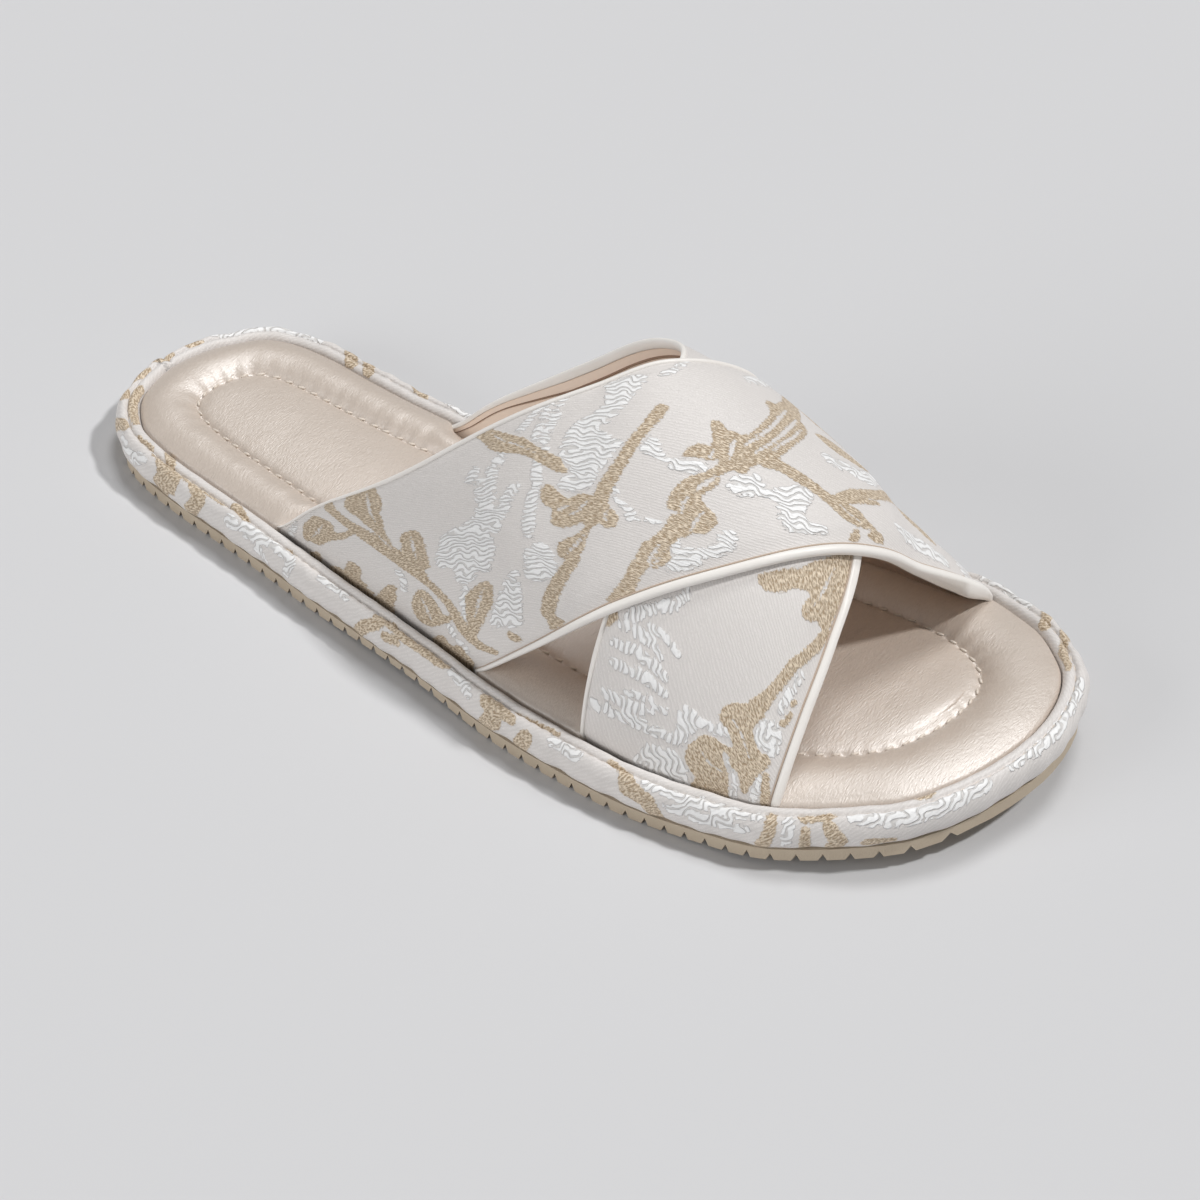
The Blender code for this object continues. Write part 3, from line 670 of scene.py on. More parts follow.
lining = two_tone("strap_lining", (40.0, 2.0), (0.84, 0.68, 0.56), (0.89, 0.745, 0.63),
                  {"Roughness": 0.45, "Sheen Weight": 0.2}, grain=(2600.0, 1.0, 0.2, 0.0002))
UNDER_GOLD = [
    [(159, 5.5), (160.5, 1.5), (163, 2), (162, 4.5), (160, 7)],
    [(105, 97), (110, 90), (115, 84.5), (119, 79.5), (121.5, 77), (124, 72.5), (127, 67.5), (131, 61.5),
     (132.3, 65), (131.3, 69), (129.3, 73.5), (126.8, 77), (125, 81), (124, 84.5), (126, 83.6), (128.3, 82.8),
     (130, 84.2), (129.4, 87.5), (127.6, 90), (128, 92.8), (130, 94.8), (122, 96), (112, 97)],
    [(127, 95.4, 0.9), (130, 94, 1), (133, 92.5, 1.1), (137, 90, 1.1), (141, 87, 1.2), (146, 84.8, 1.2),
     (150, 82.6, 1.3), (154, 80.4, 1.7), (157, 78, 2.2)],
    [(155.5, 80), (157, 75.5), (158.5, 70.5), (160.5, 66), (163.5, 63.8), (165, 65), (165.8, 68.5),
     (167.5, 71.8), (169.4, 73.8), (169.8, 70), (169.6, 64), (170.3, 59.5), (172.5, 56.5), (175.5, 53.8),
     (178, 54.3), (180, 57.5), (181.5, 60.5), (185.5, 58), (185.5, 76.5), (180.5, 76.5), (177.5, 75.5),
     (175.5, 73.5), (173, 70.3), (171.6, 70.4), (172, 73), (174.5, 75.5), (174.8, 78), (177, 80.5),
     (179.5, 81.8), (181, 84.5), (178, 85.8), (174, 87.3), (171, 89.5), (168, 91.3), (166.2, 90), (166.2, 86),
     (164.5, 82), (162, 79.8), (159.5, 81), (157, 82.5)],
    [(172, 91, 0.8), (176, 92, 1), (180, 93.4, 1.2), (184, 94.4, 1.6)],
    [(148.4, 92.6, 0.7), (149.6, 91.7, 0.6)], [(151.8, 92.6, 0.6), (154, 92, 0.7), (156, 90.4, 0.8)],
    [(4, 40, 1.6), (14, 44, 1.5), (26, 42, 1.6), (38, 46, 1.5), (50, 54, 1.6), (62, 60, 1.8), (74, 62, 1.6),
     (86, 58, 1.5), (98, 56, 1.3)],
    [(15, 43), (14, 36), (16, 28), (19.5, 25), (21.5, 31), (20, 38), (17, 43)],
    [(28, 42), (29, 34), (33, 25), (37, 22), (38, 29), (34, 37), (30, 42)],
    [(24, 43), (24, 52), (26.5, 61), (30, 64), (32, 57), (30, 49), (26, 43)],
    [(42, 48), (45, 40), (51, 34), (56, 33), (54.5, 40), (49, 46), (44, 50)],
    [(47, 52), (49, 60), (46, 69), (42, 73), (40, 66), (42, 57), (45, 52)],
    [(64, 60), (65, 51), (69, 43), (73, 40), (74.5, 47), (71, 55), (67, 60)],
    [(8, 42), (10, 51), (8.5, 60), (5.5, 64), (3.5, 57), (5, 48)],
    [(76, 62), (80, 68), (84, 77), (82.5, 83), (78.5, 79), (76, 70)],
    [(9, 84, 1.2), (22, 82, 2.2), (34, 84, 2), (43, 88, 1.1)],
]
UNDER_GAPS = [
    [(174, 60, 0.1), (176.5, 66, 0.25), (177, 72, 0.1)], [(163, 70, 0.1), (165, 76, 0.3), (169.5, 82, 0.1)],
    [(18, 41, 0.1), (18, 33, 0.3), (19, 28, 0.1)], [(30, 40, 0.1), (34, 31, 0.3), (36, 26, 0.1)],
    [(114, 90, 0.1), (120, 88.5, 0.35), (126, 87, 0.1)],
]
UNDER_WHITE = [
    [(143.5, 34), (147, 31), (150, 25), (153, 19), (156, 12), (158.5, 9), (159.5, 12), (157, 17), (154, 22),
     (152, 27), (150.5, 31), (147.5, 34.5), (145, 36)],
    [(177.8, 4, 0.9), (176.8, 12, 1.1), (175.8, 22, 1.2), (175.2, 33, 1.2), (174.8, 45, 1)],
    [(174.4, 8, 0.8), (173.8, 15, 1), (173, 25, 1.1), (171.6, 34, 0.9)],
    [(160.5, 9, 0.8), (159.5, 16, 1.1), (159, 24, 1.3), (160, 31, 0.9)],
    [(164.5, 8, 0.8), (163, 18, 1.2), (162.4, 27, 1.4), (163.4, 36, 0.9)],
    [(168, 10, 0.8), (166.6, 20, 1.1), (166, 29, 1.2), (166.6, 38, 0.9)],
    [(171, 20, 0.6), (169.6, 30, 0.9), (169.6, 40, 0.8)],
    [(156.6, 22, 0.6), (156, 30, 0.9), (157.4, 38, 0.7)],
    [(178.5, 34), (181, 31.5), (185.5, 29), (185.5, 58), (182, 58.5), (179, 53), (177.2, 49), (177.5, 44),
     (178, 39)],
    [(166.5, 47), (169, 46), (172, 47.5), (174.5, 45), (176, 48), (174.5, 52.5), (171, 55), (169, 58),
     (169, 63), (168.3, 68), (168.8, 73), (166.5, 70), (165.8, 64), (167, 58), (166, 52)],
    [(171.5, 72), (174, 72.5), (175.6, 75.5), (178, 77.5), (182, 78), (185.5, 77.5), (185.5, 81), (181, 80.5),
     (177.5, 80), (174.5, 77.5)],
    [(157, 84), (160, 82), (163, 81.5), (165, 84), (166, 88), (165.5, 92), (161, 92.5), (158, 91),
     (156.5, 88)],
    [(172, 89.6, 0.6), (177, 88.6, 0.8), (183, 88.5, 0.9)],
    [(141, 91.5, 0.6), (147, 89.5, 0.9), (153, 88, 0.9)], [(121, 79.5, 0.7), (123.6, 76.6, 0.7)],
    [(10, 14, 2), (18, 16, 2.7), (26, 13, 1.8)], [(44, 20, 2), (52, 24, 3), (60, 22, 2)],
    [(12, 70, 2), (20, 72, 2.7), (30, 74, 1.8)], [(54, 74, 2), (62, 80, 3), (70, 85, 2)],
    [(84, 36, 2), (92, 30, 2.8), (98, 25, 1.8)], [(88, 74, 1.8), (96, 80, 2.6), (102, 86, 1.8)],
]
under_strap = make_strap("under", 290, 96, UNDER_GOLD, UNDER_GAPS, UNDER_WHITE, [brocade, lining])
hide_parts("upper")


# Top strap: made like the under strap, from the lateral rear over the instep to the medial front, and sewn to
# the under strap where it lies on it. A flowering branch is woven along it.
TOP_GOLD = [
    [(151.5, -1), (154, 6), (156.5, 11.5), (160, 16.2), (162.5, 18.2), (164.2, 21.8), (167.5, 25.8),
     (170, 30), (172.5, 35), (174.5, 38), (176.5, 36), (175, 30), (172.5, 28), (170.3, 24), (169.5, 19.5),
     (168, 15), (167.3, 9.5), (165, 5), (162.5, 2.5), (160, -1)],
    [(167.5, 0, 1), (170.6, 5, 1.5), (171.7, 10, 1.5), (172.6, 15, 1.6), (173, 20, 1.9), (174, 26, 2.2),
     (175, 33, 2.2), (175.6, 40, 2.5), (176.4, 46, 2.7), (177.5, 51, 2), (178.6, 54.5, 1.3), (179.2, 58, 1.2),
     (180.2, 63, 1.1), (181.6, 68, 1.1), (183.2, 72.5, 1.2), (185.2, 77, 1.4), (186.8, 81.5, 1.6),
     (187.8, 86, 1.5), (188, 90, 1.4), (187, 94, 1.2)],
    [(176.2, 6.5), (177, 4), (180, 4), (184.5, 4.8), (187.5, 6.8), (190.5, 9.4), (191.4, 11.2), (190, 13),
     (189.6, 15.4), (186.5, 16.8), (183, 17.6), (180.6, 19.6), (177.5, 20.4), (174, 20.6), (174, 18.2),
     (177, 17.2), (179.2, 15.6), (177.4, 13.4), (176.1, 10)],
    [(163.2, 35.5), (164.5, 33.6), (167, 33.4), (169.5, 35.3), (171, 37.5), (173.5, 39.5), (176, 40),
     (176, 50), (174, 52.5), (171.5, 49.8), (169, 46.5), (166.5, 43), (164.3, 39.5)],
    [(193, 18.5), (196, 17.5), (199, 18), (199, 24), (196.5, 23), (194.5, 21.5)],
    [(187, 29.8), (188.5, 29), (191, 30.3), (193.3, 31), (193.5, 28.8), (196, 27.8), (199, 28), (199, 50),
     (196.5, 48), (194.5, 47), (194.5, 44), (193, 42), (192.5, 39), (191, 37.5), (188.5, 35.5),
     (187.2, 32.5)],
    [(186.4, 48.3), (187.5, 47), (190, 47.2), (193, 48), (195.5, 49), (199, 50), (199, 60), (195.5, 57.5),
     (193, 55.5), (190.5, 54), (188.8, 51.5), (187.5, 51.3)],
    [(182, 58.5), (182.8, 56.6), (185, 57), (188, 58.5), (190.5, 61), (192.5, 64.5), (193.3, 68),
     (193.2, 71.5), (191.5, 73), (189, 74.3), (186.5, 75), (185, 73.8), (186, 71), (184.5, 67), (183, 63)],
    [(167.3, 73), (167.5, 70.8), (169.5, 70.3), (172.5, 70.2), (175.5, 70.5), (178.5, 73), (181, 76),
     (183.5, 79), (186.5, 82.5), (186.5, 85.5), (181.5, 83.5), (178.5, 82), (175.5, 80.5), (172.5, 79),
     (170, 76.5), (168.5, 75)],
    [(193, 78), (194.5, 77), (197, 77.5), (199, 79), (199, 96), (195, 95), (193.5, 90), (192.5, 85.5),
     (194.5, 83.5)],
    [(176.7, 92.5), (177, 90.5), (178.5, 90.8), (179.5, 92.5), (179.2, 95.2), (177, 95.2)],
    [(160, 90), (162.5, 91), (165, 93.5), (166.8, 96.2), (160, 96.2), (161, 93)],
    [(120, -1), (120.2, 4), (120, 10), (119.5, 15), (118.8, 18), (119.3, 24), (119, 30), (118.6, 35),
     (119.5, 39), (120.8, 43), (122.3, 42), (123, 38), (123.2, 33), (123.5, 28), (124.5, 24), (126, 20),
     (126.5, 15.5), (125.8, 12), (124.8, 8), (124.5, 4), (123.8, -1)],
    [(127, 45), (128.5, 45.5), (130.5, 47.5), (132.2, 51), (132.7, 54.5), (131.5, 57), (127.5, 57),
     (127.2, 52)],
    [(122, 56), (124, 54.3), (127, 54.5), (128, 53), (131, 54), (133, 57), (135.3, 60), (136.2, 62),
     (135.3, 64.7), (133, 65.8), (130, 66), (127.5, 66.5), (125, 66), (122, 63), (121, 60)],
    [(120.8, 62), (123, 63.5), (125.5, 66), (126.4, 69.5), (126, 71.5), (123.8, 71.8), (121.8, 69.5),
     (120.8, 66.5)],
    [(90.2, 26.5, 1.2), (93, 29.5, 1.2), (97, 33.5, 1), (101, 37.5, 1), (105, 42, 1.1), (109, 46.8, 1.1),
     (113, 51, 1.3), (117, 55, 1.4), (120, 58.5, 1.4), (122.5, 62, 1.7), (125, 65.5, 1.5), (128.5, 67, 1.3)],
    [(128, 66.5), (130.5, 68.2), (133.5, 69.3), (137, 69.4), (140, 70), (142, 72.5), (143.2, 75),
     (141.5, 76.6), (139, 77), (136, 76.3), (133.5, 73.5), (130.5, 70.5), (128.5, 68.8)],
    [(139, 77, 1), (142, 78.8, 1.2), (146, 80.8, 1.2), (150, 83, 1.3), (155, 85.7, 1.4), (160, 89.3, 1.5),
     (163, 92, 1.6)],
    [(110, 76, 2), (114, 79.5, 1.5), (118, 82, 1.6), (122, 84, 1.8), (126, 87, 1.4), (130, 89.5, 1.2),
     (133, 92, 1.2), (136, 94.4, 1.4), (140, 95.4, 1), (143, 96, 0.5)],
    [(118, 84.5), (120.5, 86.5), (123, 88.5), (126, 90.3), (123.5, 90.6), (121, 89.5), (119, 87.5)],
    [(56, 22), (60, 25), (62.5, 24), (65.5, 31), (70, 36.5), (75, 41.5), (79, 44.5), (82, 44.5), (86, 50),
     (88, 57), (83, 58), (78, 57), (75, 54.5), (71, 51), (66, 46.5), (62, 43), (57, 36)],
    [(82, 37.5), (83.5, 36.8), (85, 39), (86, 42), (87.5, 45), (89.5, 48.5), (91, 52), (88.5, 55), (85, 53),
     (83, 49), (81.5, 46), (80.5, 44.2), (82.2, 41.5)],
    [(89.5, 48), (91, 46), (93.5, 46.8), (95.5, 48.5), (96.5, 50), (94.5, 51.5), (92.5, 53.5), (90, 53.5)],
    [(86, 55), (90, 54), (92, 56.5), (95, 58), (99, 59), (102, 60.5), (105, 63), (108, 66.5), (109.8, 70),
     (108.5, 72.5), (110, 75.5), (113, 78), (113.5, 80.5), (112.5, 82.3), (110, 81.2), (108, 82.6), (105, 81),
     (102.5, 79), (101.5, 75.5), (101.5, 71), (101, 68), (98, 66), (95, 64), (93, 61), (90, 59.5),
     (87.5, 61.5), (85.5, 59.5), (83, 58), (82, 55)],
    [(77.5, 55), (80, 57), (82.5, 59), (79.5, 62), (78, 66), (76.5, 70.5), (75.5, 75), (75, 80), (74.5, 85),
     (72.5, 88.5), (70, 89), (67, 89.5), (67.5, 85), (67.5, 81), (69.5, 77.5), (71.5, 74), (72.5, 69),
     (73.5, 64), (75, 60)],
    [(66, 90.5), (68.5, 89.8), (71, 91.8), (70.5, 94), (67.5, 94)],
    [(72.5, 90), (75, 91), (77.5, 94.5), (75.5, 95), (73.5, 92.5)],
    [(73, 77.5, 1.2), (68, 74.5, 1.3), (63, 72, 1.4), (54, 70, 1.4), (44, 66, 1.5), (34, 60, 1.6),
     (24, 54, 1.6), (14, 50, 1.5), (4, 48, 1.6)],
    [(70, 77, 0.8), (64, 75.5, 0.9), (58, 75, 0.6)],
    [(57, 28, 2.4), (50, 20, 2), (41, 12, 1.8), (30, 8, 1.5), (20, 12, 1.4)],
    [(46, 20), (47, 28), (42, 36), (37, 39), (37, 32), (41, 24)],
    [(55, 38), (54, 46), (48, 53), (44, 54), (45.5, 46), (51, 38)],
    [(40, 65), (42, 73), (39, 82), (36, 84), (34.5, 76), (37, 67)],
    [(30, 58), (28, 50), (30, 42), (33, 39), (35, 46), (33, 55)],
    [(16, 51), (17.5, 60), (14, 70), (11, 71), (10, 62), (13, 53)],
    [(22, 54), (21, 63), (24, 71), (27, 72), (28, 64), (25, 55)],
    [(10, 49), (8.5, 40), (11, 31), (14, 29), (15.5, 37), (13, 46)], [(8, 84, 2.4), (14, 88, 2)],
    [(10, 82, 2.2), (15, 78, 1.8)], [(7, 86, 2), (9, 93, 1.6)],
    [(30, 8), (32, 15), (29, 23), (25, 25), (24.5, 18), (27, 9)],
]
TOP_GAPS = [
    [(58, 27.5, 0.3), (64, 33.5, 0.4), (70, 40, 0.4), (76, 45.3, 0.35), (82, 49.5, 0.2)],
    [(58, 32.5, 0.3), (64, 38.5, 0.4), (70, 44.5, 0.4), (76, 49.6, 0.35), (81, 53, 0.2)],
    [(60, 38, 0.2), (65, 43, 0.35), (71, 48, 0.35), (76, 52.2, 0.2)],
    [(67, 37, 0.1), (72, 41.6, 0.3), (77, 45.4, 0.1)], [(82.5, 46, 0.1), (85.5, 50.5, 0.6), (88, 54.5, 0.1)],
    [(94, 60.6, 0.2), (98, 63, 0.55), (101, 65.2, 0.2)],
    [(89, 49.5, 0.1), (91.5, 52.5, 0.3), (92.5, 55, 0.1)],
    [(103, 73.5, 0.1), (107, 77, 0.35), (110, 80.4, 0.1)],
    [(103, 66.5, 0.1), (106.5, 70, 0.35), (108.5, 73.5, 0.1)],
    [(72, 79, 0.1), (71.5, 83, 0.35), (70, 87, 0.1)],
    [(156, 4, 0.1), (160, 10, 0.4), (164, 16, 0.3), (166.5, 21, 0.1)],
    [(171, 27, 0.1), (173, 32.5, 0.35), (174, 36, 0.1)], [(166, 36.5, 0.1), (169.5, 41, 0.4), (173, 46, 0.1)],
    [(179, 9.5, 0.1), (183, 10.8, 0.35), (188, 11.2, 0.1)],
    [(185, 60, 0.1), (188, 65.5, 0.35), (190.5, 70, 0.1)],
    [(170, 72.5, 0.1), (175, 75.5, 0.35), (181, 80, 0.1)],
    [(121.6, 6, 0.1), (122.6, 14, 0.3), (121.6, 22, 0.3), (121, 34, 0.1)],
    [(123.5, 58.5, 0.1), (127, 60.5, 0.35), (131, 61.5, 0.1)],
    [(128, 57.3, 0.1), (130.5, 57.6, 0.4), (132.5, 58, 0.1)],
    [(121.5, 64.6, 0.1), (124, 67, 0.3), (125, 70, 0.1)],
    [(132, 70.6, 0.1), (136, 73, 0.35), (140.5, 75, 0.1)],
    [(119, 82.6, 0.1), (123, 86, 0.4), (126, 88.6, 0.1)],
]
TOP_WHITE = [
    [(71, 1), (75, 5.5), (80, 9.8), (85, 9.5), (89.5, 13.5), (93.5, 17.5), (96.5, 21), (101, 24.5),
     (104.5, 28), (104.5, 33), (103.5, 36.5), (106.5, 39.5), (110, 43.5), (114, 47), (118, 51), (121, 53.5),
     (124.5, 52.5), (126, 48), (123, 45), (120.5, 43.5), (118.8, 39), (118, 34), (116, 30), (112.5, 25.5),
     (109, 21), (105.5, 18.5), (101.5, 17), (97.5, 13.5), (95.8, 9.5), (94.5, 5), (91, 3), (87, 4.5),
     (84.5, 7.5), (79, 6.5), (75, 3)],
    [(101, 0, 0.6), (105, 6, 0.7), (109, 12.5, 0.8), (113, 18, 0.8), (117.5, 25, 0.8), (119, 29, 0.6)],
    [(104, 0, 0.5), (108.5, 7, 0.6), (112, 12, 0.7)], [(108, 2, 0.6), (113, 8, 0.6), (118, 13, 0.7)],
    [(110, 10, 0.6), (114.5, 16, 0.7), (118, 21, 0.6)],
    [(97.5, 38), (99.5, 39.5), (101.5, 41.5), (103, 44), (102, 47.5), (101.4, 51), (101, 55), (99, 57.5),
     (95.5, 58), (93.5, 55), (95, 52.5), (98, 51), (99.5, 48.5), (99, 45), (98, 42)],
    [(85, 62.5), (88, 61.5), (91, 62.5), (93.5, 65), (94, 68), (92.5, 71), (89, 71.5), (87, 74), (87.5, 78),
     (89.5, 82), (90.5, 85), (90, 89), (86, 91), (82, 91.5), (81, 89), (84, 86), (83, 82), (80.5, 79),
     (78, 76.5), (76.5, 72.5), (78.5, 69), (82, 69.5), (85.5, 68.5), (85.5, 65.5)],
    [(101, 84), (103, 82.5), (105, 84), (108, 87), (112, 87.5), (115, 86), (119, 88.5), (122, 91), (124, 93),
     (118, 94), (112, 92.5), (107, 91.5), (103, 89)],
    [(113.5, 81), (115.5, 81.5), (117.2, 84.5), (118, 87), (116, 86.5), (114.5, 84)],
    [(115.5, 57, 0.5), (117, 60, 0.7), (118, 64, 0.8), (117.6, 67.5, 0.8), (119.4, 70.6, 1), (117, 73, 0.8),
     (114.6, 74.6, 0.6)],
    [(125.6, 21, 0.8), (129, 24, 1.1), (132, 26.5, 1.1), (135, 31, 1.2), (138, 35.5, 1.3), (141, 39.5, 1.5),
     (144.5, 43, 1.5), (149, 46.5, 1.3)],
    [(133.6, 21, 0.7), (136, 24, 1), (138.6, 26.5, 0.8)],
    [(136.5, 28, 0.9), (139.5, 33, 1), (143, 38.5, 0.8)],
    [(123, 33, 0.8), (125.5, 37, 0.9), (127.6, 41, 1), (130, 44.5, 0.8)],
    [(131.5, 46, 0.9), (134.5, 50, 1), (138, 54.5, 1.1), (141, 58.5, 1.2), (144, 62.5, 1)],
    [(132.5, 39.5, 0.8), (135.5, 42, 1.1), (139, 45, 1.3), (141.5, 48, 1)],
    [(143, 42.5), (147, 44), (152, 45), (157, 44.5), (162, 45), (165, 48), (168.5, 50), (171.5, 53),
     (172, 56), (170, 58.5), (172.5, 62), (173.5, 66), (170, 67.5), (166.5, 66.5), (164.5, 68.5), (161, 66.5),
     (158, 64), (155, 61.5), (153, 58), (149.5, 56), (146, 53.5), (143, 50.5), (141, 46.5)],
    [(143, 68), (147, 66.5), (150, 68.5), (152.5, 71), (155, 74), (157, 77), (156, 79.5), (152, 80.5),
     (149, 80), (146.5, 78), (144.5, 75), (143.5, 71.5)],
    [(157, 73), (161, 73.5), (166, 76), (170, 78.5), (174, 81), (178, 83.5), (180, 86), (177, 88),
     (175.5, 91), (172, 90), (168.5, 86.5), (165, 83), (161, 78.5)],
    [(173.5, 68.3, 0.6), (177, 70.5, 0.8), (180, 74, 0.8), (182.5, 78, 0.7)],
    [(180.5, 45, 0.6), (183, 49.5, 0.8), (186, 53, 0.7)],
    [(188.5, 76, 0.6), (190.5, 80, 0.7), (191.5, 85, 0.7), (193, 90, 0.6)],
    [(186, 1, 0.8), (191, 4, 0.9), (196, 7, 0.8)], [(60, 54, 2.2), (52, 60, 2.7), (47, 58, 1.8)],
    [(34, 20, 1.8), (24, 26, 2.7), (18, 30, 2)], [(56, 86, 1.8), (47, 88, 2.4), (39, 91, 1.5)],
    [(6, 18, 1.8), (9, 26, 2.2), (6, 34, 1.5)], [(24, 80, 1.8), (22, 87, 2.6), (28, 92, 1.8)],
    [(60, 12, 1.2), (52, 8, 1.8), (44, 5, 1.2)],
]
top_strap = make_strap("top", 320, 104, TOP_GOLD, TOP_GAPS, TOP_WHITE, [brocade, lining])
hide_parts("upper")


# Bindings: bias strips of cream satin folded round the edges of the straps. On the front edges the fold
# stands as a bead on the face; on the rear edges most of it is turned to the inside.
FRONT_FOLD = {
    "inset": [2.15, 2.0, 1.5, 0.85, 0.3, 0.0, -0.1, 0.0, 0.4, 1.2, 1.9, 2.1],
    "out":   [-0.5, 0.1, 0.4, 0.44, 0.24, -0.15, -0.6, -1.05, -1.38, -1.52, -1.5, -1.28],
}
REAR_FOLD = {
    "inset": [1.05, 0.85, 0.4, 0.05, -0.1, -0.05, 0.3, 0.9, 1.5, 1.75, 1.6, 1.1],
    "out":   [-0.3, 0.06, 0.14, 0.0, -0.4, -0.9, -1.35, -1.55, -1.6, -1.5, -1.4, -1.35],
}
BOUND_EDGES = ("under_rear", "under_front", "top_rear", "top_front")
BINDING_STATIONS = 260
LIP_BELOW, TOP_LIP, UNDER_LIP = -0.5, 1.8, 1.4
cream = two_tone("cream_binding", (90.0, 2.0), (0.83, 0.79, 0.74), (0.90, 0.87, 0.835),
                 {"Roughness": 0.4, "Sheen Weight": 0.2}, grain=(1500.0, 2.0, 0.2, 0.0003))


def fold_points(edge, inset, out, stations):
    """Points along a strap edge at an inset and an offset, squeezed where the straps lie on each other.
    Towards its front end each front edge is rolled in, so the fold is deeper there."""
    strap = edge.split("_")[0]
    a, y = inside_edge(edge, stations, inset)
    inner, outer = strap_faces(strap, a, y)
    proud = np.maximum(out, 0) + 0 * a
    if strap == "under":
        proud = proud * (1 - under_top(a, y))
    below = min(out, 0) * (outer - inner) / STRAP_EDGE_WALL
    if edge == "top_front" and out < LIP_BELOW:
        below = below * (1 + TOP_LIP * ease((a - 0.05) / 0.17) * ease((0.48 - a) / 0.2))
    elif edge == "under_front" and out < LIP_BELOW:
        below = below * (1 + UNDER_LIP * ease((a - 0.45) / 0.3))
    return strap_point(a, y, outer + proud + below)


def along_edge(name, edge, insets, outs, material):
    """A strip swept along a strap's edge with a closed section, open ends filled."""
    sides = len(insets)
    stations = np.concatenate([[-TUCK], np.linspace(0, 1, BINDING_STATIONS - 1), [1 + TUCK]])
    loops = np.stack([fold_points(edge, inset, out, stations) for inset, out in zip(insets, outs)], 1)
    bm = bmesh.new()
    bmesh.ops.create_grid(bm, x_segments=BINDING_STATIONS, y_segments=sides, size=1.0)
    column, row = grid_numbers(bm, BINDING_STATIONS, sides)
    put_points(bm, loops[column, row % sides])
    return finish_piece(name, bm, [material])


for edge in BOUND_EDGES:
    fold = FRONT_FOLD if edge.endswith("front") else REAR_FOLD
    binding = along_edge(edge + "_fold", edge, fold["inset"], fold["out"], cream)
    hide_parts(edge + "_binding")


# Sewing: a tan or brown thread along each binding, darker than thread alone so that it also paints the shade
# line beside the binding, a thread in the crease of the wrapped edge and the champagne quilting stitches of
# the insole, each stitch lying in the dip that it pulls.
THREAD_FLECKS = (2500.0, 1.0)
THREAD_RADIUS = 0.2
QUILT_STITCH = {"length": 2.3, "thick": 0.75}
QUILT_STITCH_HEIGHT, QUILT_STITCH_SLANT = 12.15, 0.3
EDGE_STITCH = {"length": 2.2, "thick": 0.5}
EDGE_STITCH_LIFT, EDGE_STITCH_START = 0.16, 3.0
# The front threads lie in the groove beside each bead; their tan is painted shade as well as stitching.
FRONT_THREAD_AND_SHADE = {"inset": 2.35, "out": -0.34}
REAR_THREAD_AND_SHADE = {"inset": 4.0, "out": -STRAP_EDGE_WALL - 0.06}
# Tan thread: real stitching whose colour also paints the soft shade line beside the front bindings.
tan_thread_and_shade_line = two_tone("tan_thread_and_shade_line", THREAD_FLECKS, (0.46, 0.36, 0.28), (0.58, 0.47, 0.38),
                      {"Roughness": 0.6})
# Brown thread: real stitching whose dark colour also paints the shadow gap between the rear bindings and the
# lining.
brown_thread_and_shade_line = two_tone("brown_thread_and_shade_line", THREAD_FLECKS, (0.22, 0.13, 0.08), (0.33, 0.21, 0.14),
                        {"Roughness": 0.6})
pale_thread = two_tone("champagne_thread", THREAD_FLECKS, (0.66, 0.58, 0.50), (0.78, 0.71, 0.63),
                       {"Roughness": 0.4})


def sew(name, places, directions, length, thick, mat):
    """A run of stitches, each a slim rounded float of thread."""
    bm = bmesh.new()
    for place, direction in zip(places, directions):
        turn = Vector(direction).to_track_quat("X", "Z").to_matrix().to_4x4()
        spot = Matrix.Translation(Vector((place - MIDDLE) * MM)) @ turn
        bmesh.ops.create_uvsphere(bm, u_segments=6, v_segments=5, radius=MM,
                                  matrix=spot @ Matrix.Diagonal((length / 2, thick / 2, thick / 2, 1)))
    return finish_piece(name, bm, [mat])


at = (np.arange(quilt_stitches) + 0.5) * quilt_run[-1] / quilt_stitches
index = np.searchsorted(quilt_run, at) % len(quilt_line)
stitch_line = on_sole(quilt_line, QUILT_STITCH_HEIGHT)
ahead = (np.roll(stitch_line, -2, axis=0) - np.roll(stitch_line, 2, axis=0))[index]
ahead[:, :2] += QUILT_STITCH_SLANT * np.column_stack([-ahead[:, 1], ahead[:, 0]])
spots = stitch_line[index]
quilting = sew("insole_quilting", spots, ahead, mat=pale_thread, **QUILT_STITCH)

at = np.arange(EDGE_STITCH_START, edge_run[-1] - EDGE_STITCH_START, EDGE_STITCH_PITCH)
crease = np.full(at.size, EDGE_CREASE)
spots = edge_place(at, crease) + np.array([0, 0, EDGE_STITCH_LIFT])
ahead = edge_place(at + 0.5, crease) - edge_place(at - 0.5, crease)
crease_thread = sew("edge_stitching", spots, ahead, mat=pale_thread, **EDGE_STITCH)

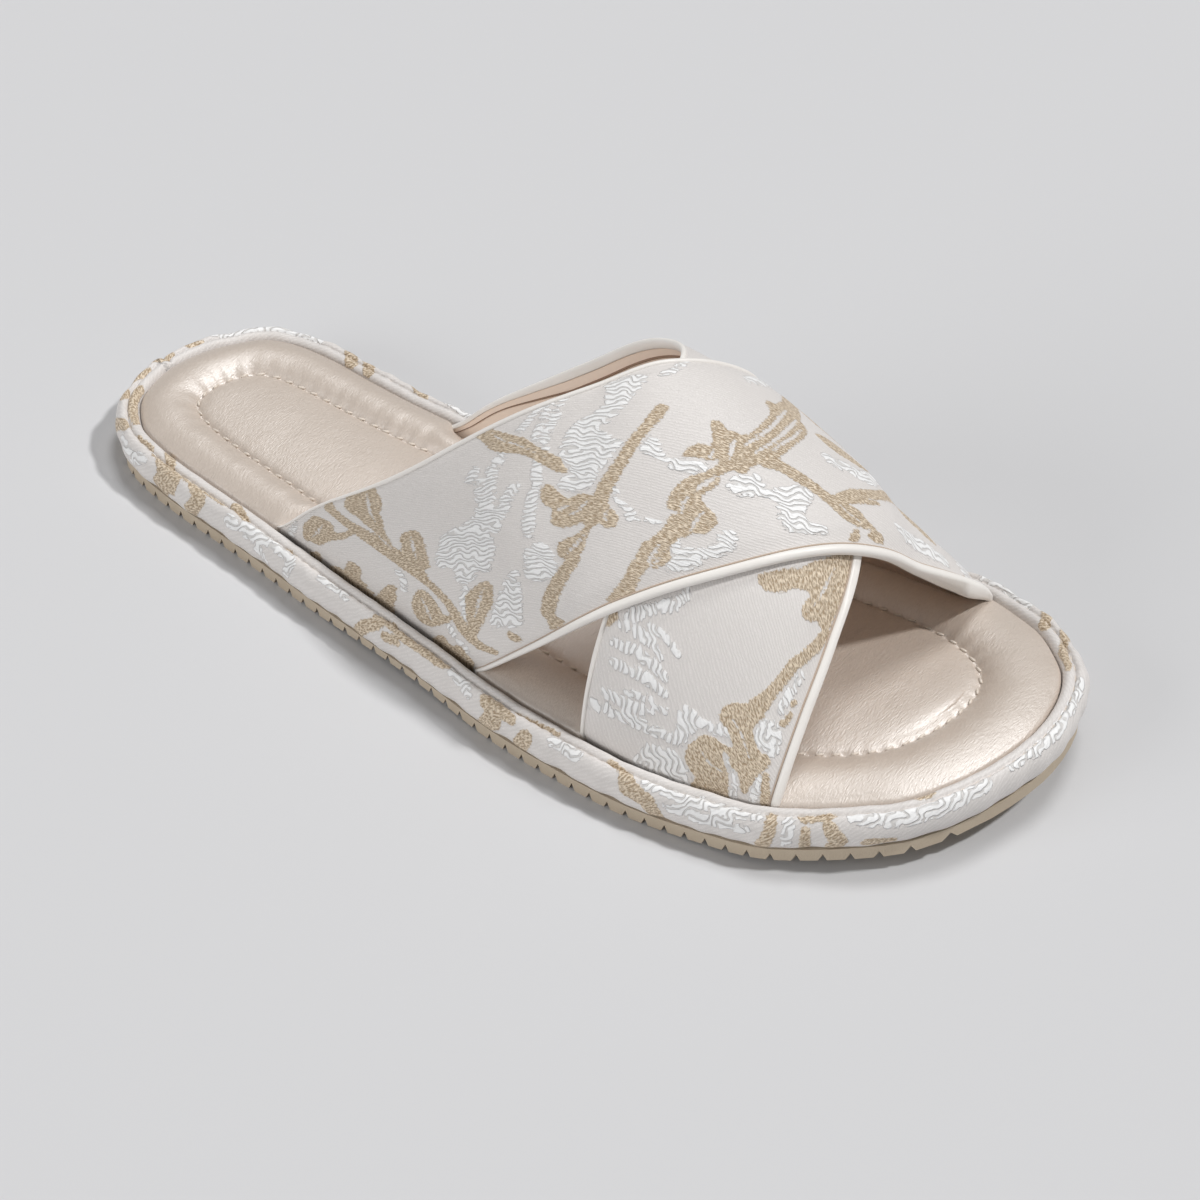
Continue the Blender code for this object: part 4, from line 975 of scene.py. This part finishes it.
turns = np.arange(6) * math.pi / 3
# Edge threads: stitching that also paints the shade lines beside the bindings.
for edge in BOUND_EDGES:
    seat, colour = (FRONT_THREAD_AND_SHADE, tan_thread_and_shade_line) if edge.endswith("front") else (REAR_THREAD_AND_SHADE, brown_thread_and_shade_line)
    insets = seat["inset"] + THREAD_RADIUS * np.cos(turns)
    outs = seat["out"] + THREAD_RADIUS * np.sin(turns)
    thread = along_edge(edge + "_thread", edge, insets, outs, colour)


# Studio: a plain pale floor, key lights from the toe and from above on the medial side, a broad fill from the
# lateral side and an even sky.
bm = bmesh.new()
bmesh.ops.create_grid(bm, x_segments=2, y_segments=2, size=4.0)
mesh = bpy.data.meshes.new("floor")
bm.to_mesh(mesh)
bm.free()
floor_paint, _, shader = start_material("floor_paint")
set_finish(shader, {"Base Color": (0.62, 0.62, 0.63, 1.0), "Roughness": 0.9, "Specular IOR Level": 0.1})
mesh.materials.append(floor_paint)
floor = bpy.data.objects.new("floor", mesh)
bpy.context.collection.objects.link(floor)

bpy.context.scene.view_settings.view_transform = "Standard"
world = bpy.data.worlds.new("studio")
bpy.context.scene.world = world
world.use_nodes = True
set_finish(world.node_tree.nodes["Background"], {"Color": (1.0, 1.0, 1.0, 1.0), "Strength": 0.20})
LAMPS = (
    ("toe_key", 1.8, 5, (0.294, -0.509, -0.809)),
    ("upper_key", 1.0, 18, (0.31, 0.0, -0.95)),
    ("fill", 1.2, 40, (-0.88, 0.36, -0.31)),
)
for name, strength, softness, shines in LAMPS:
    lamp = bpy.data.objects.new(name, bpy.data.lights.new(name, "SUN"))
    lamp.data.energy = strength
    lamp.data.angle = math.radians(softness)
    lamp.rotation_mode = "QUATERNION"
    lamp.rotation_quaternion = Vector(shines).to_track_quat("-Z", "Y")
    bpy.context.collection.objects.link(lamp)

LOOK_AT, CAMERA_ROLL = (0.0144, 0.0213, 0.020), -1.05
camera = bpy.data.objects.new("camera", bpy.data.cameras.new("camera"))
camera.data.lens = 125.0
camera.data.sensor_width = 36.0
camera.location = (0.5803, 0.4705, 0.6481)
look = Vector(LOOK_AT) - camera.location
camera.rotation_mode = "QUATERNION"
roll = Quaternion((0, 0, 1), math.radians(CAMERA_ROLL))
camera.rotation_quaternion = look.to_track_quat("-Z", "Y") @ roll
bpy.context.collection.objects.link(camera)
bpy.context.scene.camera = camera
